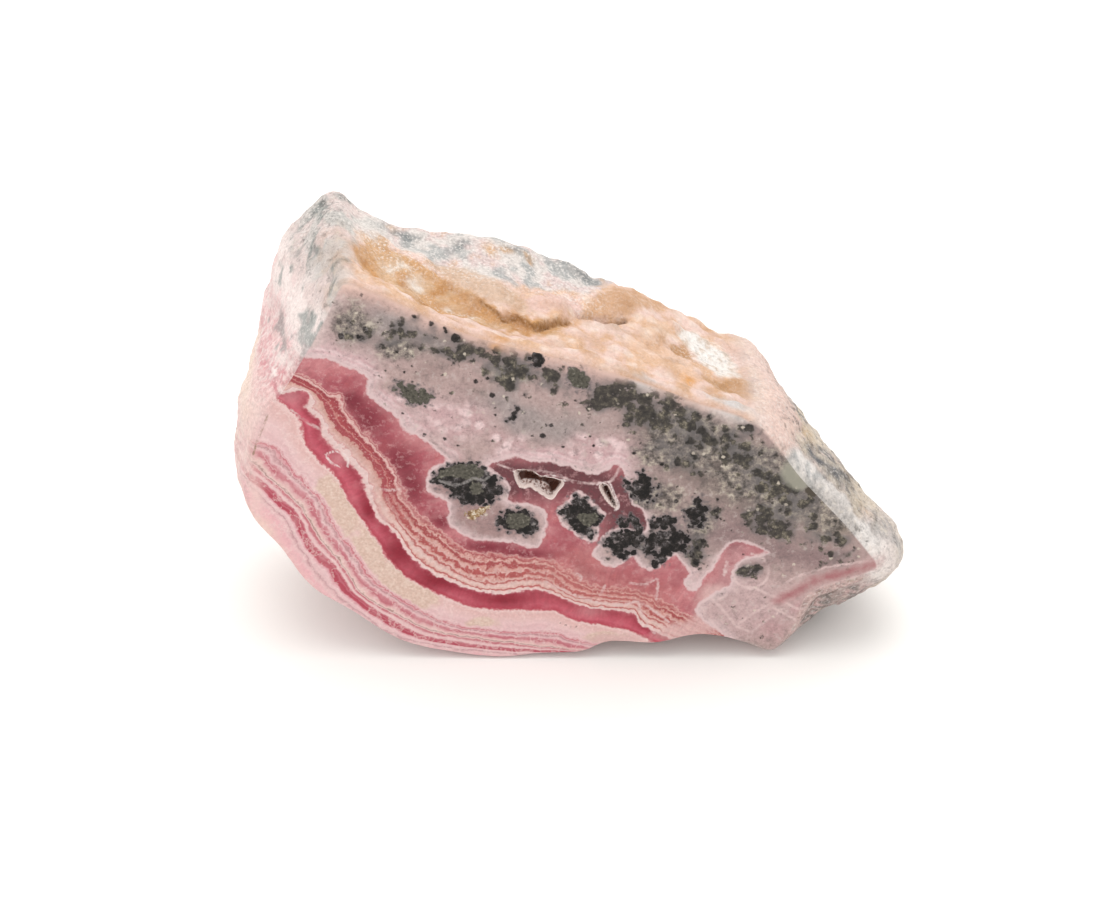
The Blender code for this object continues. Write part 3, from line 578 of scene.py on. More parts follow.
def smooth_loop(points, steps=4):
    """Closed Catmull-Rom curve through the points, with its first point again at its end."""
    rows = np.array(points, float)
    return catmull(rows, np.linspace(0, len(rows), len(rows) * steps + 1))


def straight_loop(points):
    """The points joined by straight sides, with the first one again at the end."""
    return np.array([*points, points[0]])


def foot(u, v, start, end):
    """Nearest point of a segment to each point, and its share of the way along."""
    (au, av), (bu, bv) = start, end
    share = np.clip(((u - au) * (bu - au) + (v - av) * (bv - av)) / math.dist(start, end) ** 2, 0, 1)
    return au + share * (bu - au), av + share * (bv - av), share


def nearest(u, v, line):
    """Distance from each point to a line, the least of those to its segments,
    and how far along the line its nearest place lies."""
    best, along, run = np.full(u.shape, 1e9), np.zeros(u.shape), 0.0
    for start, end in zip(line, line[1:]):
        foot_u, foot_v, share = foot(u, v, start, end)
        away = np.hypot(u - foot_u, v - foot_v)
        length = math.dist(start, end)
        along = np.where(away < best, run + share * length, along)
        best = np.minimum(best, away)
        run += length
    return best, along


def within(u, v, loop):
    """Even-odd rule: a point is inside if a ray to its right crosses the loop
    an odd number of times."""
    odd = np.zeros(u.shape, bool)
    for (au, av), (bu, bv) in zip(loop, np.roll(loop, -1, axis=0)):
        if av != bv:
            odd ^= ((av > v) != (bv > v)) & (u < au + (v - av) / (bv - av) * (bu - au))
    return odd


def depth_in(u, v, loop):
    """Distance to a closed loop, above 0 inside it and below 0 outside."""
    away, _ = nearest(u, v, loop)
    return np.where(within(u, v, loop), away, -away)


def deepest(u, v, loops):
    """Depth in whichever of the loops a point is deepest in."""
    return np.max([depth_in(u, v, loop) for loop in loops], axis=0)


def linear(colour):
    """sRGB hex colour as linear RGB."""
    srgb = np.array([int(colour[k:k + 2], 16) for k in (0, 2, 4)]) / 255
    return np.where(srgb <= 0.04045, srgb / 12.92, ((srgb + 0.055) / 1.055) ** 2.4)


# --------------------------------------------------------------- the surface
def spaced(count, centre, spread, crowding):
    """Shares from 0 to 1 whose spacing is 1 / (1 + crowding x bell)."""
    even = np.linspace(0, 1, 2001)
    density = 1 + crowding * bell(even, centre, spread)
    run = np.cumsum(density) - density[0]
    return np.interp(np.linspace(0, 1, count + 1), run / run[-1], even)


def side(first, last, shares):
    """Station numbers at the given shares of the outline's length between two stations."""
    number = np.linspace(first, last, 60 * (last - first) + 1)
    run = np.linalg.norm(np.diff(catmull(STATIONS, number)[:, :2], axis=0), axis=1).cumsum()
    run = np.concatenate([[0], run])
    return np.interp(shares, run / run[-1], number)


def top_relief(u, w, ragged):
    """Height of the top over its even sweep: the step down behind the rim, a
    bell for each feature, the broken shelf, and the crack under the mound."""
    rim, shelf = (np.interp(u, *zip(*line)) for line in (RIM, SHELF))
    height = -RIM_STEP * span(w, rim - 0.5 * ragged, 17.0, 1.2, 8.0) * step(u + 25.5, 4.0)
    for cu, cw, half_u, half_w, rise in TOP_RELIEF.values():
        height = height + rise * bell(u, cu, half_u) * bell(w, cw, half_w)
    on_shelf = span(u, SHELF[0][0], SHELF[-1][0], 3.0, 3.0)
    height += SHELF_STEP * on_shelf * span(w, shelf - 0.6 * ragged, 15.0, 0.8, 8.0)
    away, _ = nearest(u, w, CAVE)
    return height - CAVE_DEPTH * bell(away, 0, CAVE_WIDTH)


def roughness(solid, layers, seed, texture=noise, middle=0.0):
    """Sum over the layers of height x (texture at that size - its middle)."""
    return sum(height * (texture(solid, size, seed + number) - middle)
               for number, (size, height) in enumerate(layers))


def wall(station, w):
    """The wall in the face frame at station numbers and depths: outline +
    normal x (swelling + relief + roughness) + a share of the shift to the back.
    Also where the wall is the top of the stone."""
    flat = catmull(STATIONS, station.ravel())
    along = (catmull(STATIONS, station.ravel() + 1) - catmull(STATIONS, station.ravel() - 1))[:, :2]
    normal = np.stack([-along[:, 1], along[:, 0]], axis=1) / np.linalg.norm(along, axis=1)[:, None]
    u, v, swell, du, dv = (flat[:, k].reshape(station.shape) for k in range(5))
    nu, nv = (normal[:, k].reshape(station.shape) for k in range(2))
    depth = w / THICKNESS
    on_top = span(station, -0.5, LAST_TOP + 0.5, 1.5, 2.0) + step(station - len(STATIONS) + 0.8, 1.5)
    on_right = span(station, LAST_TOP + 1.0, TIP + 1.5, 1.6, 2.0)
    on_ledge = span(station, TIP + 0.1, TIP + 4.0, 1.2, 1.5)
    lift = swell * np.sin(np.pi * depth ** SWELL_POWER)
    lift += on_top * top_relief(u + du * depth, w, noise(place(u, v, w) / MM, 1.7, 21))
    lift -= on_ledge * UNDERCUT * bell(w, 1.4, 0.8)
    lift -= EDGE_ROUNDING * (0.6 + 0.6 * on_top) * (1 - np.clip(w / 1.1, 0, 1)) ** 2
    even = 1 / (1 + (np.gradient(lift, axis=0) / np.gradient(w, axis=0)) ** 2)
    u, v = u + nu * lift + du * depth, v + nv * lift + dv * depth
    solid = place(u, v, w) / MM
    bump = roughness(solid, ROUGHNESS, 1) * step(w - 1.0, 2.0)
    bump += roughness(solid, FINE_ROUGHNESS, 11) * even * (0.35 + 0.65 * step(w - 1.2, 1.8))
    knobs = roughness(solid, KNOBBLES, 71, knobbly, 0.7) * (0.4 + 0.6 * even)
    bump += knobs * step(w - 3.0, 3.0) * (0.30 + 0.55 * np.maximum(on_top, on_right))
    return u + nu * bump, v + nv * bump, on_top


def face_grid(ring_index, edge, relax=300):
    """Points inside a four-sided patch: a Coons patch between the edge points
    that the index grid's border names, each then moved again and again to the
    mean of its four neighbours."""
    top, right, bottom, left = (edge[line] for line in (
        ring_index[0], ring_index[:, -1], ring_index[-1], ring_index[:, 0]))
    s = np.linspace(0, 1, len(top))[None, :, None]
    t = np.linspace(0, 1, len(left))[:, None, None]
    grid = (1 - t) * top[None] + t * bottom[None] + (1 - s) * left[:, None] + s * right[:, None]
    grid = grid - ((1 - s) * (1 - t) * top[0] + s * (1 - t) * top[-1]
                   + (1 - s) * t * bottom[0] + s * t * bottom[-1])
    for _ in range(relax):
        grid[1:-1, 1:-1] = (grid[:-2, 1:-1] + grid[2:, 1:-1] + grid[1:-1, :-2] + grid[1:-1, 2:]) / 4
    return grid[1:-1, 1:-1].reshape(-1, 2)


def cells(index):
    """Quads of an index grid, in the order that faces the front."""
    return np.stack([index[:-1, :-1], index[1:, :-1], index[1:, 1:], index[:-1, 1:]], axis=-1).reshape(-1, 4)


def grid_index(across, up, ring_first, inner_first):
    """Index grid whose border, clockwise from its top left corner, is a ring
    that starts at one number, and whose inside runs on from another."""
    ring = ring_first + np.arange(2 * (across + up))
    index = np.zeros((up + 1, across + 1), int)
    index[0, :-1] = ring[:across]
    index[:-1, -1] = ring[across:across + up]
    index[-1, :0:-1] = ring[across + up:2 * across + up]
    index[:0:-1, 0] = ring[2 * across + up:]
    index[1:-1, 1:-1] = inner_first + np.arange((across - 1) * (up - 1)).reshape(up - 1, across - 1)
    return index


def sink_vugs(u, v, spacing):
    """Depth of the vugs: points near a mouth move onto it, and inside it the
    floor drops at once and then more slowly, roughened by its druse."""
    depth, druse = np.zeros(u.shape), np.full(u.shape, OUTSIDE)
    for points in VUGS.values():
        loop = smooth_loop(points)
        deep = depth_in(u, v, loop)
        near = np.abs(deep) < 0.5 * spacing
        for start, end in zip(loop, loop[1:]):
            foot_u, foot_v, _ = foot(u, v, start, end)
            here = near & (np.abs(np.hypot(u - foot_u, v - foot_v) - np.abs(deep)) < 1e-9)
            u, v = np.where(here, foot_u, u), np.where(here, foot_v, v)
        deep = np.where(near, 0.0, deep)
        lumps = noise(np.stack([u, v, np.zeros(u.shape)], axis=-1), 0.55, 31)
        drop = VUG_DEPTH * (1 - np.exp(-np.maximum(deep, 0) / 0.45)) * (1 + 0.5 * lumps)
        depth = np.maximum(depth, drop)
        druse = np.maximum(druse, deep)
    return u, v, depth, druse


def stone_points():
    """All the stone's points in the face frame, the part of the stone that each
    is on, its quads, the triangles where the back's coarser grid begins, and
    the finish of each quad: 0 polished, 1 broken, 2 sawn."""
    across = spaced(ACROSS, 0.47, 0.12, 0.7)
    up = spaced(UP, 0.55, 0.2, 0.5)
    sides = (side(0, TIP, across), side(TIP, FOOT, up), side(FOOT, LOW_LEFT, 1 - across[::-1]),
             side(LOW_LEFT, len(STATIONS), 1 - up[::-1]))
    station = np.concatenate([part[:-1] for part in sides])
    columns = len(station)
    w = (THICKNESS * (np.arange(WALL_ROWS + 1) / WALL_ROWS) ** 1.35)[:, None] * np.ones(columns)
    wall_u, wall_v, on_top = wall(np.broadcast_to(station, w.shape), w)

    # points: the wall's rows, every other point of its last row, the front, the back
    wall_count = WALL_ROWS * columns
    front_first = wall_count + columns // 2
    front_count = (ACROSS - 1) * (UP - 1)
    front_index = grid_index(ACROSS, UP, 0, front_first)
    back_index = grid_index(ACROSS // 2, UP // 2, wall_count, front_first + front_count)

    def on_the_wall(rows):
        return np.concatenate([rows[:-1].ravel(), rows[-1, ::2]])

    edge = np.stack([on_the_wall(wall_u), on_the_wall(wall_v)], axis=1)
    front, back = face_grid(front_index, edge), face_grid(back_index, edge)
    front_u, front_v, front_w, druse = sink_vugs(front[:, 0], front[:, 1], 0.2)
    u = np.concatenate([on_the_wall(wall_u), front_u, back[:, 0]])
    v = np.concatenate([on_the_wall(wall_v), front_v, back[:, 1]])
    w = np.concatenate([on_the_wall(w), front_w, np.full(len(back), THICKNESS)])
    counts = [front_first, front_count, len(back)]
    part = {
        "top": np.concatenate([on_the_wall(on_top), np.zeros(front_count + len(back))]),
        "station": np.concatenate([on_the_wall(np.tile(station, (WALL_ROWS + 1, 1))),
                                   np.full(front_count + len(back), -1.0)]),
        "face": np.repeat([0, 1, 2], counts),
        "druse": np.concatenate([np.full(front_first, OUTSIDE), druse, np.full(len(back), OUTSIDE)]),
    }

    rings = np.arange(wall_count).reshape(WALL_ROWS, columns)
    closed = np.concatenate([rings, rings[:, :1]], axis=1)
    wall_quads = cells(closed)[:, ::-1]
    last = closed[-1]
    coarse = np.append(np.arange(wall_count, front_first), wall_count)
    strip = np.concatenate([
        np.stack([last[:-2:2], last[1::2], coarse[:-1]], axis=1),
        np.stack([last[1::2], coarse[1:], coarse[:-1]], axis=1),
        np.stack([last[1::2], last[2::2], coarse[1:]], axis=1)])
    quads = np.concatenate([cells(front_index), wall_quads, cells(back_index)[:, ::-1]])
    finish = np.repeat([0, 1, 2], [ACROSS * UP, len(wall_quads), ACROSS * UP // 4])
    return (u, v, w), part, quads, strip, finish


def stone_mesh(name, spot, quads, triangles, finish):
    """A mesh of quads and triangles, put in with foreach_set, flat underneath."""
    points = place(*spot)
    points[:, 2] = np.maximum(points[:, 2], 0.0)
    mesh = bpy.data.meshes.new(name)
    mesh.vertices.add(len(points))
    mesh.vertices.foreach_set("co", points.astype(np.float32).ravel())
    corners = np.concatenate([quads.ravel(), triangles.ravel()])
    starts = np.concatenate([np.arange(len(quads)) * 4, quads.size + np.arange(len(triangles)) * 3])
    mesh.loops.add(len(corners))
    mesh.loops.foreach_set("vertex_index", corners.astype(np.int32))
    mesh.polygons.add(len(starts))
    mesh.polygons.foreach_set("loop_start", starts.astype(np.int32))
    mesh.polygons.foreach_set("material_index", np.append(finish, np.ones(len(triangles))).astype(np.int32))
    mesh.update(calc_edges=True)
    mesh.validate()
    mesh.shade_smooth()
    mesh.set_sharp_from_angle(angle=SHARP_ANGLE)
    obj = bpy.data.objects.new(name, mesh)
    bpy.context.scene.collection.objects.link(obj)
    return obj


# ------------------------------------------------------------ pattern fields
def band_number(u, v, rose):
    """Where a point lies between the growth lines: the number of lines passed
    on the way in, and a share of the way to the next one. Also how far along
    the outer raspberry line it is."""
    passed, away, run = np.zeros(u.shape, int), [], None
    for name, points in GROWTH_LINES.items():
        line = smooth_line(points)
        line = np.vstack([[-FAR, line[0, 1]], line, [line[-1, 0], -FAR]])
        passed += within(u, v, np.vstack([line, [FAR, -FAR], [FAR, FAR], [-FAR, FAR]]))
        distance, along = nearest(u, v, line)
        away.append(distance)
        if name == "raspberry, outer":
            run = along
    away = np.stack([*away, np.abs(rose)])
    outer = np.take_along_axis(away, np.maximum(passed - 1, 0)[None], 0)[0]
    inner = np.take_along_axis(away, np.minimum(passed, len(away) - 1)[None], 0)[0]
    share = outer / np.maximum(outer + inner, 1e-6)
    return np.where(passed == 0, np.clip(1 - away[0] / SKIN, 0, 1), passed + share), run


def fields(spot, part):
    """Every number that the materials read at a point, by name."""
    u, v, w = spot
    solid = place(u, v, w) / MM
    # behind the face the layers drift a little
    u = spot[0] + 0.16 * w * noise(solid, 11.0, 41) - 0.04 * w
    v = spot[1] + 0.16 * w * noise(solid, 11.0, 42) + 0.05 * w
    edge = smooth_line(ROSE_EDGE)
    rose = depth_in(u, v, straight_loop([[-FAR, edge[0, 1]], *edge, [edge[-1, 0], -FAR], [-FAR, -FAR]]))
    cloud = sum(s * bell(u, cu, 1.15 * a) * bell(v, cv, 1.15 * b) for cu, cv, a, b, s in CLOUDS)
    layer, _ = nearest(u, v, smooth_line(DARK_LAYER))
    cloud = cloud + 0.30 * bell(layer, 0, 1.7 + 0.05 * (u + 30)) * step(u + 18.0, 8.0)
    grains = [np.minimum(depth_in(u, v, smooth_loop(points)), 0.60 if "cluster" in name else 1.6)
              for name, points in SULPHIDES.items()]
    values = {
        "rose": np.minimum(rose, -depth_in(u, v, smooth_loop(ISLAND_RIM))),
        "cloud": 1.3 * np.tanh(cloud / 1.3),
        "sulphide": np.max(grains, axis=0),
        "olive": deepest(u, v, [smooth_loop(points) for points in OLIVE.values()]),
        "gold": depth_in(u, v, smooth_loop(GOLD)),
        # where the deep part of each vug shows from above, painted as shade
        "dark_druse_and_shade": deepest(u, v + 0.3 * w, [straight_loop(points) for points in DARK_DRUSE_AND_SHADE]),
        "speck": np.max([radius - np.hypot(u - su, v - sv) for su, sv, radius in SPECKS], axis=0),
        "druse": part["druse"],
        "top": part["top"],
    }
    values["band"], values["run"] = band_number(u, v, rose)
    for name, lines in LINES.items():
        values[name] = np.min([nearest(u, v, smooth_line(line))[0] for line in lines], axis=0)
    for name, rows in PATCHES.items():
        values[name] = soft(u, v, rows)
    for name, line in (("ledge", SHELF[2:]), ("cave", CAVE), ("low crack", LOW_CRACK)):
        values[name] = np.where(part["top"] > 0.5, nearest(spot[0], spot[2], line)[0], -OUTSIDE)

    u, v, w = spot
    edge, _ = nearest(u, v, smooth_line([row[:2] for row in TOP]))
    on_face = (part["face"] == 1) | (w < 0.05)
    values["rim"] = np.where(on_face, 1 - step(edge - 0.7 - noise(solid, 3.0, 62), 2.0), 0.0)
    back = step(w - 15.0, 8.0) * (1 - step(u - 6.0, 5.0))
    crusted = 0.15 + back + 1.5 * soft(u, w, WHITE_CRUST) + 0.7 * soft(u, w, LACE)
    calm = 0.75 * np.exp(-w / 6.0) * step(7.0 - v, 4.0) * step(-u - 28.0, 4.0)
    sugary = np.where(part["top"] > 0.5, np.clip(crusted, 0, 1), 0.55 - 0.7 * calm)
    values["sugary"] = np.where(part["face"] == 2, 0.30, sugary)
    walls = span(part["station"], LAST_TOP + 1.2, FOOT - 0.5, 1.0, 1.0) * (0.35 + 0.65 * step(w - 2.6, 1.2))
    peak = (part["face"] == 0) * step(-u - 28.0, 2.0) * step(v - 20.0, 3.0)
    values["rubble"] = np.clip(walls + 0.8 * peak, 0, 1)
    return values


# ---------------------------------------------------------------- base tones
def tint(tone, area, rows):
    """Moves the tones of an area towards each (colour, weight) in turn."""
    for colour, weight in rows:
        tone += (linear(colour) - tone) * np.clip(area * weight, 0, 1)[:, None]


def face_rim_tones(tone, on_face, spot, u):
    """The worn rims of the polished face, along its upper left edge and the top. Right at the top edge the
    face is painted lighter: painted light that evens the shading across the edge.
    """
    solid = place(*spot) / MM
    left_edge, _ = nearest(*spot[:2], smooth_line([row[:2] for row in LEFT[8:] + TOP[:1]]))
    edge, _ = nearest(*spot[:2], smooth_line([row[:2] for row in TOP]))
    on_rim = 1 - step(edge - 1.6, 3.0)
    tint(tone, on_face, (
        ("dcc6c3", 0.9 * (1 - step(left_edge - 1.3 - 0.6 * noise(solid, 1.6, 65), 2.4))),
        ("e0bcb0", on_rim),
        # painted light: the face lighter right at its top edge
        ("f3d3c6", on_rim * (1 - step(edge - 0.7, 1.0))),
        ("dedad8", 0.9 * on_rim * (bell(u, 12.0, 2.6) + bell(u, 25.0, 5.0))),
        ("e8a968", 0.8 * on_rim * bell(u, -7.4, 1.2))))


def top_tones(tone, top, spot, stirred, cold, warm):
    """The top: peach and pink, with painted highlights on the crests of its lumps and painted shade
    between them, sugary and grey along the back, then its named zones and spots, the golden lip of
    the shelf, and painted shade just behind the front edge."""
    u, _, w = stirred
    solid = place(*spot) / MM
    lumps = knobbly(solid, 2.6, 72)
    behind = step(w - np.interp(u, *zip(*SUGARY_LINE)), 1.6)
    in_amber = step(depth_in(u, w, straight_loop(AMBER)), 1.0)
    crust = depth_in(u, w, np.array(TOP_ZONES["white crust"][-1]))
    shelf, _ = nearest(u, w, SHELF[2:])
    tint(tone, top, (
        ("eccabb", 1.0),
        ("e8c0a0", 0.85 * step(warm - 0.05, 0.25) * step(u + 27.0, 3.0)),
        ("f0d2c8", 0.7 * step(-warm - 0.08, 0.3)),
        # painted shade between the lumps of the relief, and painted highlights on their crests
        ("d9ad86", 0.55 * step(warm + 0.25, 0.4) * step(0.66 - lumps, 0.3)),
        ("f6e2d6", 0.60 * step(lumps - 0.88, 0.12)),
        ("e3dbd6", behind),
        ("e2c9c6", 0.8 * behind * step(warm - 0.08, 0.3)),
        ("a7abab", 0.75 * behind * step(cold - 0.08, 0.25)),
        ("dcb48c", 0.5 * behind * step(warm - 0.34, 0.12)),
        *((colour, amount * step(depth_in(u, w, straight_loop(loop)) + 0.3 * cold, softness))
          for colour, amount, softness, loop in TOP_ZONES.values()),
        ("bd8750", 0.75 * in_amber * step(warm - 0.10, 0.3)),
        ("e6cbae", 0.45 * in_amber * step(-cold - 0.16, 0.25)),
        *((colour, amount * soft(u, w, rows)) for colour, amount, rows in TOP_SPOTS),
        ("cfb8a4", 0.75 * step(crust + 0.2, 1.0) * step(noise(solid, 1.1, 68) - 0.16, 0.2)),
        ("cf9a63", 0.7 * bell(shelf, 0, 0.8)),
        # painted shade: the top darker just behind the front edge
        ("dcb9a8", 0.7 * (1 - step(spot[2] - 0.5, 0.9)))))


def left_tones(tone, left, broken, solid, stirred, cold, warm):
    """The left wall: nearly white, a pale wall painted lighter still for the strong light on this side,
    with pink grains low down and grey above them, and the grey crest at the top left corner."""
    u, v, w = stirred
    granules = step(noise(solid, 0.7, 74) + 0.05, 0.3)
    tint(tone, left, (
        # the pale wall, painted lighter still for the strong light on this side
        ("ffefeb", 1.0),
        ("fcdcda", 0.85 * step(warm + 0.03 * (9.0 - v), 0.3)),
        ("dd9aa2", 0.5 * step(noise(solid, 0.9, 66) - 0.12, 0.2) * step(14.0 - v, 8.0)),
        ("99a19f", 0.75 * step(cold + 0.10 - 0.05 * np.abs(v - 17.0) - 0.01 * w, 0.2))))
    tint(tone, broken * step(-u - 27.0, 2.0), (
        ("c9c8c4", 0.6 * step(v - 21.0, 3.0)),
        ("8f9491", 0.9 * step(v - 18.0, 4.0) * step(cold - 0.12, 0.2)),
        ("f0dcd8", 0.9 * step(v - 18.0, 4.0) * step(warm - 0.10, 0.3))))
    tint(tone, left, (
        ("fbe8dc", 0.8 * step(4.0 - v, 5.0) * step(-warm + 0.1, 0.4)),
        ("fbe6d3", 0.9 * soft(u, v, [(-42.4, 4.4, 1.8, 2.4)])),
        ("d67f8a", 0.8 * granules * soft(u, v, [(-40.2, 8.6, 2.6, 1.4), (-36.6, 9.8, 1.6, 0.9)]))))


def right_tones(tone, right, solid, stirred, cold, warm):
    """The right wall: white behind the face, then beige rubble with grey and
    tan lumps, pink at its shoulder and white at the tip; its pale tones are painted lighter still for the
    strong light on this side."""
    u, v, w = stirred
    grains = step(noise(solid, 1.4, 67) - 0.08, 0.2) * step(v + 7.0, 4.0)
    tint(tone, right, (
        ("f5efeb", 1 - step(w - 2.2, 1.2)),
        ("a3a8aa", 0.6 * grains * (1 - step(w - 2.6, 1.2))),
        ("d6c9bd", step(w - 2.4, 1.0)),
        ("807f80", 0.9 * step(w - 2.8, 1.2) * step(cold - 0.06, 0.2)),
        ("eadbc8", 0.9 * step(w - 2.4, 1.2) * step(warm - 0.06, 0.2)),
        ("efdcd4", 0.9 * step(w - 2.4, 1.2) * step(-warm - 0.20, 0.2)),
        *((colour, amount * soft(v, w, rows)) for colour, amount, rows in RIGHT_SPOTS),
        ("efcfc4", 0.9 * step(v + 0.8, 2.0) * step(26.0 - w, 2.0)),
        ("f7ebe6", soft(u, v, [(46.0, -19.0, 3.5, 3.5)]))))


def under_tones(tone, under, spot, stirred, cold):
    """The underside, pink and grey, and the broken ledge below the right tip,
    with slanting grey strokes and painted shade, dark brown, along its undercut."""
    u, v, w = stirred
    solid = place(*spot) / MM
    strokes = noise(place(u + 0.9 * v, 2.2 * v, w) / MM, 1.8, 69)
    undercut_shade = spot[2] - 1.3 + 1.2 * noise(solid, 2.6, 70)
    tint(tone, under, (
        ("e2c1bf", 1.0),
        ("b3a19c", 0.8 * step(cold, 0.4)),
        ("ecc4c4", (1 - step(w - 2.5, 3.0)) * (1 - step(u - 8.0, 8.0)))))
    tint(tone, under * step(u - 33.0, 3.0), (
        ("b8a39e", 0.9),
        ("7c7370", 0.9 * step(strokes - 0.10, 0.16) * step(w - 1.6, 1.0)),
        ("d7b3b0", 0.9 * step(-strokes - 0.16, 0.2)),
        # painted shade in the undercut of the ledge
        ("543c31", 0.9 * bell(undercut_shade, 0, 0.35) * step(u - 36.0, 3.0)),
        ("cfb0ab", 1 - step(spot[2] - 0.6, 0.5))))


def base_tones(spot, part):
    """The large colour areas, as linear colours: the matrix of the sawn faces,
    and the weathered zones of the broken wall, with their borders stirred."""
    u, v, w = spot
    solid = place(u, v, w) / MM
    u = u + 1.6 * noise(solid, 3.0, 51) + 0.8 * noise(solid, 1.1, 53)
    v = v + 1.6 * noise(solid, 3.0, 52)
    w = w + 1.6 * noise(solid, 3.0, 54) + 0.8 * noise(solid, 1.1, 55)
    cold = noise(solid, 4.0, 56) + 0.6 * noise(solid, 1.6, 57)
    warm = noise(solid, 3.6, 63) + 0.5 * noise(solid, 1.3, 64)
    station = part["station"]
    broken = np.where(part["face"] == 0, 1.0, 0.0)
    left = broken * span(station, LOW_LEFT - 1.5, len(STATIONS) - 0.4, 2.0, 0.8)
    right = broken * span(station, LAST_TOP + 0.6, TIP + 1.0, 1.0, 1.0)
    under = broken * span(station, TIP + 1.0, LOW_LEFT - 1.0, 1.0, 2.0)
    tone = np.tile(linear("bda39f"), (len(u), 1))
    tint(tone, 1.0, [(colour, strength * soft(u, v, rows)) for colour, strength, rows in MATRIX_TONES])
    face_rim_tones(tone, np.where(part["face"] == 1, 1.0, 0.0), spot, u)
    top_tones(tone, part["top"], spot, (u, v, w), cold, warm)
    left_tones(tone, left, broken, solid, (u, v, w), cold, warm)
    right_tones(tone, right, solid, (u, v, w), cold, warm)
    under_tones(tone, under, spot, (u, v, w), cold)
    return tone


def vein_share(spot, part):
    """How clearly the banding shows: fully on the sawn faces, faintly on the
    weathered wall, and more on its lower left side and in the ledge."""
    u, v, w = spot
    solid = place(u, v, w) / MM
    faint = 0.06 + 0.20 * step(noise(solid, 6.0, 61), 0.5) + 0.25 * step(-v - 8.0, 8.0)
    faint += 0.25 * bell(w, 0.0, 1.2) + 0.65 * np.exp(-w / 5.0) * step(-u - 30.0, 4.0) * step(9.0 - v, 3.0)
    return np.where(part["face"] > 0, 1.0, faint * (1 - step(part["top"] - 0.2, 0.4)))


# ------------------------------------------------------------- shading tools
def add(tree, kind, inputs=None, out=0, stops=None, **settings):
    """Adds a shader node with its settings, links or sets its inputs by socket
    number or name, fills a ramp's stops, and gives back one of its outputs."""
    made = tree.nodes.new("ShaderNode" + kind)
    for name, value in settings.items():
        setattr(made, name, value)
    for socket, value in (inputs or {}).items():
        if isinstance(value, bpy.types.NodeSocket):
            tree.links.new(value, made.inputs[socket])
        else:
            made.inputs[socket].default_value = value
    for number, (position, colour) in enumerate(stops or []):
        elements = made.color_ramp.elements
        element = elements[number] if number < 2 else elements.new(position)
        element.position = position
        element.color = (*linear(colour), 1.0)
    return made.outputs[out]


def moved(tree, base, *textures):
    """A number moved by textures: base + amount x (texture - 0.5) for each of
    the (texture, amount)."""
    for texture, amount in textures:
        centred = add(tree, "Math", {0: texture, 1: 0.5}, operation="SUBTRACT")
        base = add(tree, "Math", {0: centred, 1: amount, 2: base}, operation="MULTIPLY_ADD")
    return base


def product(tree, *amounts):
    """Product of amounts. Each is a number, a node's output, or (output, low,
    high, most): 0 at low, the most at high, or 1, and a straight line between."""
    total = None
    for amount in amounts:
        if isinstance(amount, tuple):
            number, low, high, *most = amount
            amount = add(tree, "MapRange", {0: number, 1: low, 2: high, 4: most[0] if most else 1.0})
        total = amount if total is None else add(tree, "Math", {0: total, 1: amount}, operation="MULTIPLY")
    return total


def painted(tree, under, *layers):
    """A colour with layers over it, each (colour, amounts): it covers what is
    under it by the product of its amounts."""
    for colour, *amounts in layers:
        over = colour if isinstance(colour, bpy.types.NodeSocket) else (*linear(colour), 1)
        under = add(tree, "Mix", {0: product(tree, *amounts), 6: under, 7: over}, out=2, data_type="RGBA")
    return under


def speckled(tree, colour, *textures):
    """A colour made lighter and darker by textures: colour x (1 + amount x
    (texture - 0.5)) for each of the (texture, amount), added up."""
    return add(tree, "VectorMath", {0: colour, 3: moved(tree, 1.0, *textures)}, operation="SCALE")


# ----------------------------------------------------------- the cut vein rock
def rock_numbers(tree):
    """What the finishes read, by name: the numbers kept on the stone's points,
    the spot in millimetres, plain and jumbled, and the noises."""
    rock = {name: add(tree, "Attribute", out=2, attribute_name=name) for name in VALUES}
    rock["tone"] = add(tree, "Attribute", out=0, attribute_name="tone")
    spot = add(tree, "VectorMath", {0: add(tree, "TexCoord", out=3), 3: 1 / MM}, operation="SCALE")
    stir = add(tree, "TexNoise", {"Vector": spot, "Scale": 1 / 0.8, "Detail": 3.0}, out=1)
    rock["spot"] = spot
    rock["jumbled"] = add(tree, "VectorMath", {0: stir, 1: JUMBLE, 2: spot}, operation="MULTIPLY_ADD")
    for name, (size, detail, roughness) in NOISES.items():
        rock[name] = add(tree, "TexNoise", {
            "Vector": spot, "Scale": 1 / size, "Detail": detail, "Roughness": roughness})
    for name, (where, size, smoothness) in CELLS.items():
        rock[name] = add(tree, "TexVoronoi", {
            "Vector": rock[where], "Scale": 1 / size, "Smoothness": smoothness}, feature="SMOOTH_F1")
    return rock


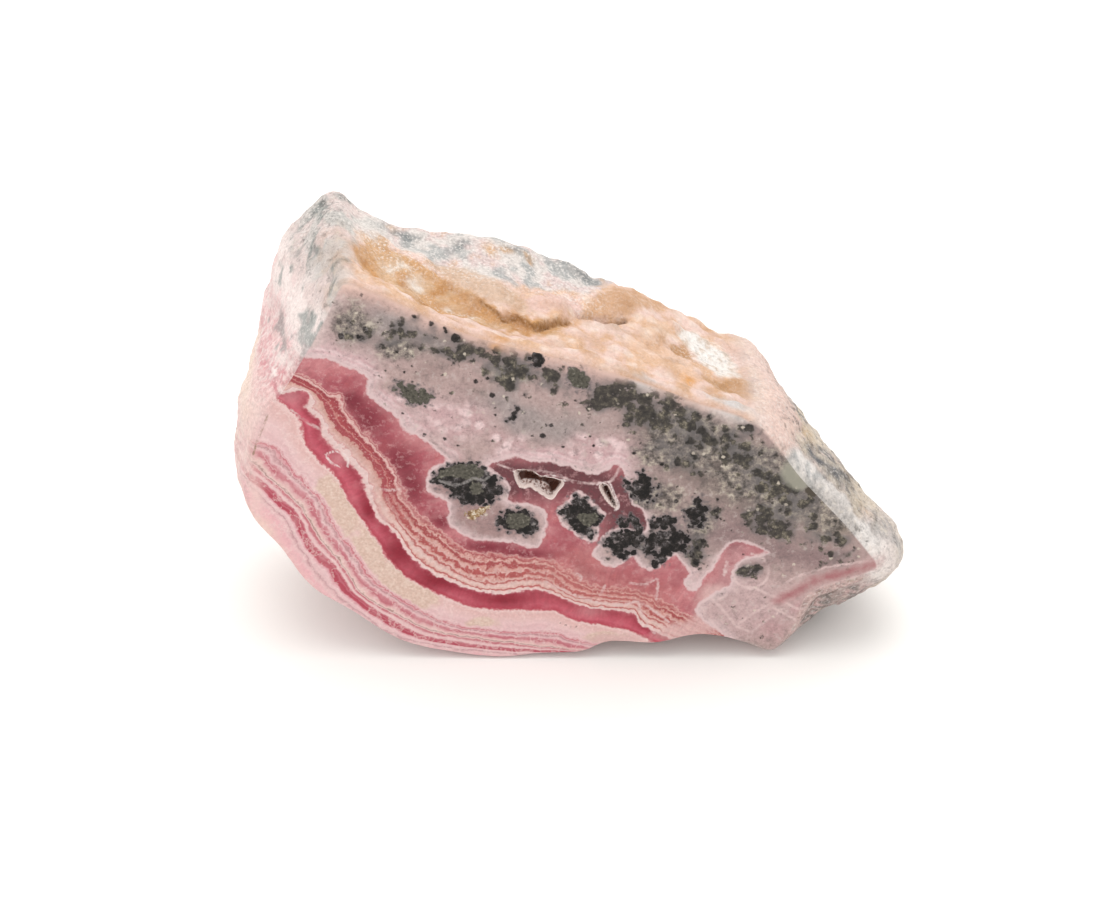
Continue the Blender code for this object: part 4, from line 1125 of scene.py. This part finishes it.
def band_colours(tree, rock):
    """The rose carbonate. Its colour follows the band number, which is wavy
    outside and scalloped like crystal tips inside, under milky clouds, white
    marbling in the cream, and warmer, darker and frosted areas."""
    coarse, fine, sugar, gritty, milky, crumb = (rock[name] for name in NOISES)
    band, run = rock["band"], rock["run"]
    wave = add(tree, "MapRange", {0: band, 1: 4.0, 2: 5.0, 3: 0.5, 4: 0.3})
    scallop = add(tree, "MapRange", {0: band, 1: 5.2, 2: 6.1, 3: 0.04, 4: 0.24})
    ripple = add(tree, "MapRange", {0: band, 1: 4.0, 2: 6.0, 3: 0.10, 4: 0.20})
    tips = add(tree, "Math", {0: rock["lobes"], 1: 0.1}, operation="ADD")
    wavy = moved(tree, band, (coarse, wave), (tips, scallop), (fine, ripple))

    colours = []
    for stops in (OUTER_BANDS, MIDDLE_BANDS, INNER_BANDS, FEW_BANDS):
        first, last = stops[0][0], stops[-1][0]
        colours.append(add(tree, "ValToRGB", {0: product(tree, (wavy, first, last))}, stops=[
            ((at - first) / (last - first), colour) for at, colour in stops]))
    outer, middle, thin, thick = colours
    inner = painted(tree, thin, (thick, (moved(tree, run, (milky, 20.0)), 62.0, 52.0)))
    past_outer, past_middle = (
        add(tree, "Math", {0: wavy, 1: number}, operation="GREATER_THAN") for number in (4.0, 6.0))

    outside = [(wavy, 4.6, 4.2)]
    cream = [(wavy, 4.05, 4.12), (wavy, 4.96, 4.90)]
    raspberry = [(wavy, 4.98, 5.08), (wavy, 6.08, 5.98)]
    ribbons = [(wavy, 6.0, 6.3), (wavy, 8.2, 7.9)]
    clear = [(wavy, 7.95, 8.15)]
    marbling = add(tree, "Math", {0: moved(tree, 0.0, (milky, 1.0))}, operation="ABSOLUTE")
    beige = moved(tree, rock["beige"], (coarse, 1.0))
    beige_grains = add(tree, "ValToRGB", {0: fine}, stops=[
        (0.35, "d6b7a6"), (0.5, "dfc2b2"), (0.65, "e8d0c1")])
    bands = painted(
        tree, outer,
        (middle, past_outer),
        (inner, past_middle),
        ("ecc9c8", (milky, 0.50, 0.68, 0.30), *outside),
        ("f3d8d4", (marbling, 0.03, 0.0, 0.5), (wavy, 4.95, 4.85)),
        ("cb8488", (milky, 0.48, 0.72, 0.6), *clear),
        ("bb5f64", (coarse, 0.54, 0.66, 0.45), *clear),
        ("cf9798", (coarse, 0.46, 0.32, 0.45), *clear),
        ("cc707b", (coarse, 0.50, 0.70, 0.60), *raspberry),
        ("d18b8e", rock["blush"], 0.8, *clear),
        ("cf8a90", rock["blush"], 0.7, *raspberry),
        ("822d3b", rock["shadow"], 0.95, *clear),
        ("bb8d8f", rock["dusky"], 0.75, *clear),
        ("dcb3ad", rock["pale ribs"], 0.55, *clear),
        ("8a1a2d", rock["deep"], 0.88, *raspberry),
        ("663c41", rock["maroon"], 0.95, *clear),
        (beige_grains, (beige, 0.30, 0.60, 0.9), *cream),
        ("c47f7b", rock["salmon"], 0.4),
        ("f3d2cc", rock["worn"], 0.75),
        ("dca9aa", (crumb, 0.53, 0.66, 0.50), *clear),
        ("9c4a55", (crumb, 0.46, 0.34, 0.35), *clear),
        ("ddb6b3", (moved(tree, rock["frost"], (coarse, 0.9)), 0.2, 0.8), 0.85),
        ("eccdc6", (sugar, 0.56, 0.72, 0.4), *ribbons),
        ("f0dad4", (sugar, 0.56, 0.72, 0.4), (wavy, 4.3, 4.6), (wavy, 5.0, 4.9)))

    # streaks across the bands, where the crystals grew side by side
    across = add(tree, "CombineXYZ", {0: product(tree, run, 1 / 0.45), 1: product(tree, band, 1.4)})
    streaks = add(tree, "TexNoise", {"Vector": across, "Scale": 1.0, "Detail": 1.0})
    strength = add(tree, "MapRange", {0: band, 1: 5.0, 2: 5.3, 3: 0.03, 4: 0.36})
    return speckled(tree, bands, (streaks, strength), (gritty, 0.26), (sugar, 0.22))


def matrix_colours(tree, rock):
    """The grey matrix: its base tone with pale cells and layers near the rose,
    beige grit, smoke, dark clouds, pepper and pale grains, and its worn rim."""
    coarse, fine, sugar, gritty, milky, crumb = (rock[name] for name in NOISES)
    tone, rose, spot = rock["tone"], rock["rose"], rock["spot"]
    ring = add(tree, "ValToRGB", {0: product(tree, (moved(tree, rose, (coarse, 0.9)), -3.0, 0.0))}, stops=[
        (0.0, "cdb0b1"), (0.28, "e0c0c2"), (0.42, "d3abaf"), (0.56, "ecd2d3"), (0.70, "dcb4b8"),
        (0.82, "ecd0d1"), (0.91, "d9b0b4"), (1.0, "efd7d7")])
    halo = moved(tree, rose, (coarse, 1.6), (milky, 2.5))
    matrix = painted(
        tree, speckled(tree, tone, (coarse, 0.30)),
        ("caa3a6", rock["mottle"], 0.6),
        ("eed3d3", (moved(tree, rock["pale cells"], (fine, 0.3)), 0.52, 0.30), rock["mottle"]),
        (ring, (moved(tree, rose, (coarse, 1.6), (milky, 4.0)), -2.6, -1.4, 0.85), rock["layered"]),
        ("dcc2c3", (halo, -1.5, -0.2, 0.75), (rock["bare"], 0.8, 0.2)))
    matrix = speckled(tree, matrix, (sugar, 0.25), (gritty, 0.75))

    crumbs = add(tree, "ValToRGB", {0: crumb}, stops=[
        (0.35, "3b3733"), (0.42, "5a544f"), (0.48, "7f7670"), (0.52, "968b84"), (0.57, "aea394"),
        (0.65, "d3c9b8")])
    near = moved(tree, rock["cloud"], (coarse, 0.8), (milky, 0.5))
    haze = add(tree, "MapRange", {0: moved(tree, near, (gritty, 0.5)), 1: 0.10, 2: 0.75, 4: 0.75},
               interpolation_type="SMOOTHSTEP")
    knots = moved(tree, near, (rock["knots"], -1.3), (crumb, 0.9), (fine, 0.5))
    dark = add(tree, "ValToRGB", {0: crumb}, stops=[
        (0.34, "1f1c1a"), (0.48, "3a3631"), (0.57, "575147"), (0.66, "948b79")])
    matrix = painted(
        tree, matrix,
        ("d8cac6", (crumb, 0.54, 0.64, 0.35)),
        ("6e6464", (crumb, 0.46, 0.36, 0.35)),
        (crumbs, (moved(tree, rock["grit"], (coarse, 1.0), (milky, 1.0)), 0.10, 0.60, 0.88)),
        ("726d6d", haze),
        (dark, (knots, 0.46, 0.70, 0.92)))

    # pepper: some of the cells hold a dark grain, and a few of the rest a pale one
    cell_distance, cell_colour = (
        add(tree, "TexVoronoi", {"Vector": spot, "Scale": 1 / 1.3}, out=out) for out in (0, 1))
    chance = add(tree, "SeparateColor", {0: cell_colour})
    chosen = add(tree, "Math", {0: chance, 1: product(tree, rock["pepper"], 0.45)}, operation="LESS_THAN")
    size = add(tree, "Math", {0: chance, 1: 0.45, 2: 0.06}, operation="MULTIPLY_ADD")
    away = moved(tree, cell_distance, (fine, 0.5))
    pepper = add(tree, "Math", {0: size, 1: away}, operation="SUBTRACT")
    return painted(
        tree, matrix,
        ("3d3632", (pepper, -0.02, 0.06, 0.85), chosen),
        ("d9cdbd", (chance, 0.80, 0.86), (away, 0.22, 0.12, 0.8), (rose, -0.8, -1.6)),
        ("a3a092", (moved(tree, rock["glass"], (fine, 0.4)), 0.3, 0.8, 0.9)),
        ("524a40", (moved(tree, rock["wedge"], (fine, 0.4)), 0.4, 0.7)),
        (speckled(tree, tone, (gritty, 0.2)), rock["rim"]))


def vein_pattern(tree, rock):
    """Colour of the cut rock, and where it is sulphide: the rose meets the
    matrix along a pale seam, with thin seams, the rose stripe, cracks and
    glints over both, and lumpy black grains with olive and gold parts."""
    coarse, fine, _, gritty, milky, crumb = (rock[name] for name in NOISES)
    seam = moved(tree, rock["rose"], (rock["lobes"], 0.5), (fine, 0.5))
    past_line = add(tree, "Math", {0: seam, 1: 0.10}, operation="ADD")
    line = add(tree, "Math", {0: past_line}, operation="ABSOLUTE")
    stripe = moved(tree, rock["stripe"], (fine, 0.4), (coarse, 1.2))
    lumpy = add(tree, "Math", {0: 0.42, 1: rock["lumps"]}, operation="SUBTRACT")
    lumpy = add(tree, "Math", {0: lumpy, 1: 1.7, 2: rock["sulphide"]}, operation="MULTIPLY_ADD")
    lumpy = moved(tree, lumpy, (fine, 0.4), (gritty, 0.5))
    speck = (moved(tree, rock["speck"], (fine, 0.4)), -0.08, 0.08, 0.94)
    grains = add(tree, "Math", {0: product(tree, (lumpy, -0.06, 0.08)), 1: product(tree, speck)},
                 operation="MAXIMUM")

    black = add(tree, "ValToRGB", {0: crumb}, stops=[
        (0.36, "0b0807"), (0.47, "171312"), (0.53, "2c2623"), (0.59, "4b4648"), (0.66, "8d8583")])
    olive = add(tree, "ValToRGB", {0: fine}, stops=[
        (0.30, "34322b"), (0.42, "4f4c43"), (0.62, "625e54"), (0.72, "8b877b")])
    gold = add(tree, "ValToRGB", {0: gritty}, stops=[(0.4, "6a4a2c"), (0.5, "a98a5c"), (0.62, "ece2cf")])
    olive_part = moved(tree, rock["olive"], (fine, 0.6), (coarse, 1.2))
    metal = painted(tree, black, (olive, (olive_part, -0.05, 0.12)))
    colour = painted(
        tree, matrix_colours(tree, rock),
        (band_colours(tree, rock), (seam, -0.20, 0.15)),
        ("e6cccc", (line, 0.34, 0.06, 0.75)),
        ("e4c9c7", (moved(tree, rock["seam"], (fine, 0.6)), 0.30, 0.0, 0.9), (coarse, 0.30, 0.50)),
        ("d3b2b0", (stripe, 1.9, 1.0, 0.35)),
        ("a9656a", (stripe, 1.1, 0.0, 0.85), (moved(tree, 0.5, (milky, 1.2)), 0.1, 0.5)),
        ("7d706c", (moved(tree, rock["hair"], (fine, 0.2)), 0.28, 0.05, 0.5)),
        ("9b826a", (moved(tree, rock["crack"], (fine, 0.3)), 0.20, 0.06, 0.8)),
        # the glints: white lines, partly pale fracture and partly painted highlight
        ("f3e4e2", (moved(tree, rock["glint"], (fine, 0.3)), 0.24, 0.08, 0.8)),
        ("6a6365", (lumpy, -0.60, -0.02, 0.85)),
        (metal, grains),
        (gold, (moved(tree, rock["gold"], (fine, 1.6)), 0.0, 0.2, 0.9)),
        ("a9a3a1", (moved(tree, rock["vein line"], (fine, 0.5)), 0.32, 0.05, 0.65), grains))
    return colour, grains


# -------------------------------------------------------------------- finishes
def rock_material(name):
    """A new material of the vein rock, with its shader, what it reads, the
    colour of the cut rock, and where that is sulphide."""
    material = bpy.data.materials.new(name)
    material.use_nodes = True
    tree = material.node_tree
    shader = tree.nodes["Principled BSDF"]
    shader.inputs["IOR"].default_value = 1.6      # the lowest of the carbonates
    rock = rock_numbers(tree)
    return (material, shader, rock, *vein_pattern(tree, rock))


def coat(tree, shader, colour, height, strength, depth):
    """Gives a shader its colour, and a bump with a height, a strength and a
    depth in metres."""
    own_colour = add(tree, "VectorMath", {0: colour, 3: AS_SEEN}, operation="SCALE")
    tree.links.new(own_colour, shader.inputs["Base Color"])
    bump = add(tree, "Bump", {"Height": height, "Strength": strength, "Distance": depth})
    tree.links.new(bump, shader.inputs["Normal"])


def polished_carbonate():
    """Rhodochrosite and vein rock, sawn and polished by hand: a soft sheen over
    full colour, a little glossier on the sulphides. The vugs are lined with
    pale druse, with painted shade, dark brown and partly dark druse, in their depth."""
    material, shader, rock, colour, grains = rock_material("hand_polished_rhodochrosite")
    tree = material.node_tree
    lining = add(tree, "ValToRGB", {0: rock["fine"]}, stops=[
        (0.36, "7d5d55"), (0.46, "b79a92"), (0.56, "f6e8e4")])
    lining = painted(tree, lining, ("f7e6e0", (rock["druse"], 0.30, 0.12)))
    colour = painted(
        tree, colour,
        (lining, (rock["druse"], -0.16, -0.04)),
        # painted shade, partly dark druse, in the deep part of each vug
        ("4d2c22", (rock["dark_druse_and_shade"], -0.15, 0.12)))
    sheen = moved(tree, add(tree, "MapRange", {0: grains, 3: 0.36, 4: 0.24}), (rock["gritty"], 0.25))
    tree.links.new(sheen, shader.inputs["Roughness"])
    shader.inputs["Specular IOR Level"].default_value = 0.15
    coat(tree, shader, colour, rock["gritty"], 0.05, 0.0002)
    return material


def rock_finish(name, pattern_most, roughness, relief):
    """Shared build of the two unpolished finishes: base tone, the banding as far as it shows,
    painted shade in the hollows between lumps, crumbs, the grain made lighter and darker (partly its
    own tone, partly painted shade), painted shade along the lines of the top's breaks, crystal
    sparkle and pits, and a matt broken surface."""
    material, shader, rock, pattern, _ = rock_material(name)
    tree = material.node_tree
    fine, gritty, crumb = rock["fine"], rock["gritty"], rock["crumb"]
    sugary, rubble = rock["sugary"], rock["rubble"]
    grain_tone_and_shade = add(tree, "MapRange", {0: sugary, 3: 0.45, 4: 1.0})
    glazed = add(tree, "Math", {0: rock["top"], 1: sugary}, operation="SUBTRACT", use_clamp=True)
    colour = painted(
        tree, rock["tone"],
        (pattern, rock["vein"], pattern_most),
        ("cf9f74", (crumb, 0.56, 0.70, 0.45), glazed),
        ("fae6da", (crumb, 0.47, 0.34, 0.45), glazed),
        # painted shade in the hollows between the rounded cells
        ("bf8f66", (rock["shaded_hollows"], 0.42, 0.70, 0.45), glazed),
        ("5b5653", (crumb, 0.47, 0.36, 0.65), rubble),
        ("f0e4d6", (crumb, 0.55, 0.66, 0.70), rubble))
    # the grain lighter where its bump is high and darker where it is low: partly its own tone, partly painted
    # shade
    colour = painted(
        tree, speckled(tree, colour, (gritty, grain_tone_and_shade)),
        # painted shade along the top's breaks
        *((break_shade, (moved(tree, rock[line], (fine, 0.12)), width, 0.15 * width, 0.85))
          for line, break_shade, width in BREAK_SHADES),
        ("8f8a86", (fine, 0.42, 0.30, 0.40), sugary),
        ("fbf4ef", (fine, 0.52, 0.66, 0.7), sugary))
    shader.inputs["Roughness"].default_value = roughness
    shader.inputs["Specular IOR Level"].default_value = 0.2
    height = add(tree, "Math", {0: product(tree, rubble, 2.0), 1: crumb, 2: gritty}, operation="MULTIPLY_ADD")
    coat(tree, shader, colour, height, relief, 0.0005)
    return material


def broken_rock():
    """Weathered, crystalline outside of the vein: sugary and matt."""
    return rock_finish("broken_vein_rock", 1.0, 0.6, 0.7)


def sawn_rock():
    """The back, left from the saw: the same banding under a dull white bloom."""
    return rock_finish("sawn_vein_rock", 0.85, 0.62, 0.25)


# ----------------------------------------------------------------- the object
def make_stone():
    """The stone, with what its finishes read kept on its points."""
    spot, part, quads, triangles, finish = stone_points()
    stone = stone_mesh("rhodochrosite_stone", spot, quads, triangles, finish)
    values = fields(spot, part)
    values["vein"] = vein_share(spot, part)
    for name in VALUES:
        attribute = stone.data.attributes.new(name, "FLOAT", "POINT")
        attribute.data.foreach_set("value", np.asarray(values[name], np.float32))
    tones = np.ones((len(spot[0]), 4), np.float32)
    tones[:, :3] = base_tones(spot, part)
    attribute = stone.data.attributes.new("tone", "FLOAT_COLOR", "POINT")
    attribute.data.foreach_set("color", tones.ravel())
    for material in (polished_carbonate(), broken_rock(), sawn_rock()):
        stone.data.materials.append(material)
    return stone


# ------------------------------------------------------- floor, light, camera
def plain_paper():
    """White paper: matt and even."""
    material = bpy.data.materials.new("white_paper")
    material.use_nodes = True
    shader = material.node_tree.nodes["Principled BSDF"]
    shader.inputs["Base Color"].default_value = (*linear("f4f3f1"), 1)
    shader.inputs["Roughness"].default_value = 0.9
    return material


def make_floor():
    """A square of paper under the stone, half its width given in metres."""
    half = 1.5
    corners = [(-half, -half, 0), (half, -half, 0), (half, half, 0), (-half, half, 0)]
    mesh = bpy.data.meshes.new("floor")
    mesh.from_pydata(corners, [], [(0, 1, 2, 3)])
    floor = bpy.data.objects.new("floor", mesh)
    bpy.context.scene.collection.objects.link(floor)
    floor.data.materials.append(plain_paper())


def make_lamp(name, spot, target, size, watts, colour):
    """A round soft lamp of a size in metres, turned to its target."""
    lamp = bpy.data.lights.new(name, "AREA")
    lamp.shape = "DISK"
    lamp.size, lamp.energy, lamp.color = size, watts, tuple(linear(colour))
    obj = bpy.data.objects.new(name, lamp)
    bpy.context.scene.collection.objects.link(obj)
    obj.location = spot
    obj.rotation_euler = (Vector(target) - Vector(spot)).to_track_quat("-Z", "Y").to_euler()


def make_light():
    """A bright even studio, and one soft lamp overhead."""
    world = bpy.data.worlds.new("studio")
    bpy.context.scene.world = world
    world.use_nodes = True
    sky = world.node_tree.nodes["Background"]
    sky.inputs["Color"].default_value = (1, 0.985, 0.97, 1)
    sky.inputs["Strength"].default_value = 1.13
    make_lamp("overhead", (-0.03, 0.10, 0.70), (0, 0, 0.02), 0.7, 2.3, "fffdfa")
    bpy.context.scene.view_settings.view_transform = "Standard"


CAMERA_DISTANCE = 0.420
CAMERA_PITCH = math.radians(38.0)


def make_camera():
    """Looks down at the polished face from in front, with a long lens."""
    camera = bpy.data.cameras.new("camera")
    camera.lens, camera.sensor_width = 100.0, 36.0
    obj = bpy.data.objects.new("camera", camera)
    bpy.context.scene.collection.objects.link(obj)
    aim = Vector(FACE_ORIGIN) * MM
    back = Vector((0, -math.cos(CAMERA_PITCH), math.sin(CAMERA_PITCH)))
    obj.location = aim + back * CAMERA_DISTANCE
    obj.rotation_euler = (-back).to_track_quat("-Z", "Y").to_euler()
    bpy.context.scene.camera = obj


stone = make_stone()
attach(stone, "root")
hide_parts(NODE)
make_floor()
make_light()
make_camera()
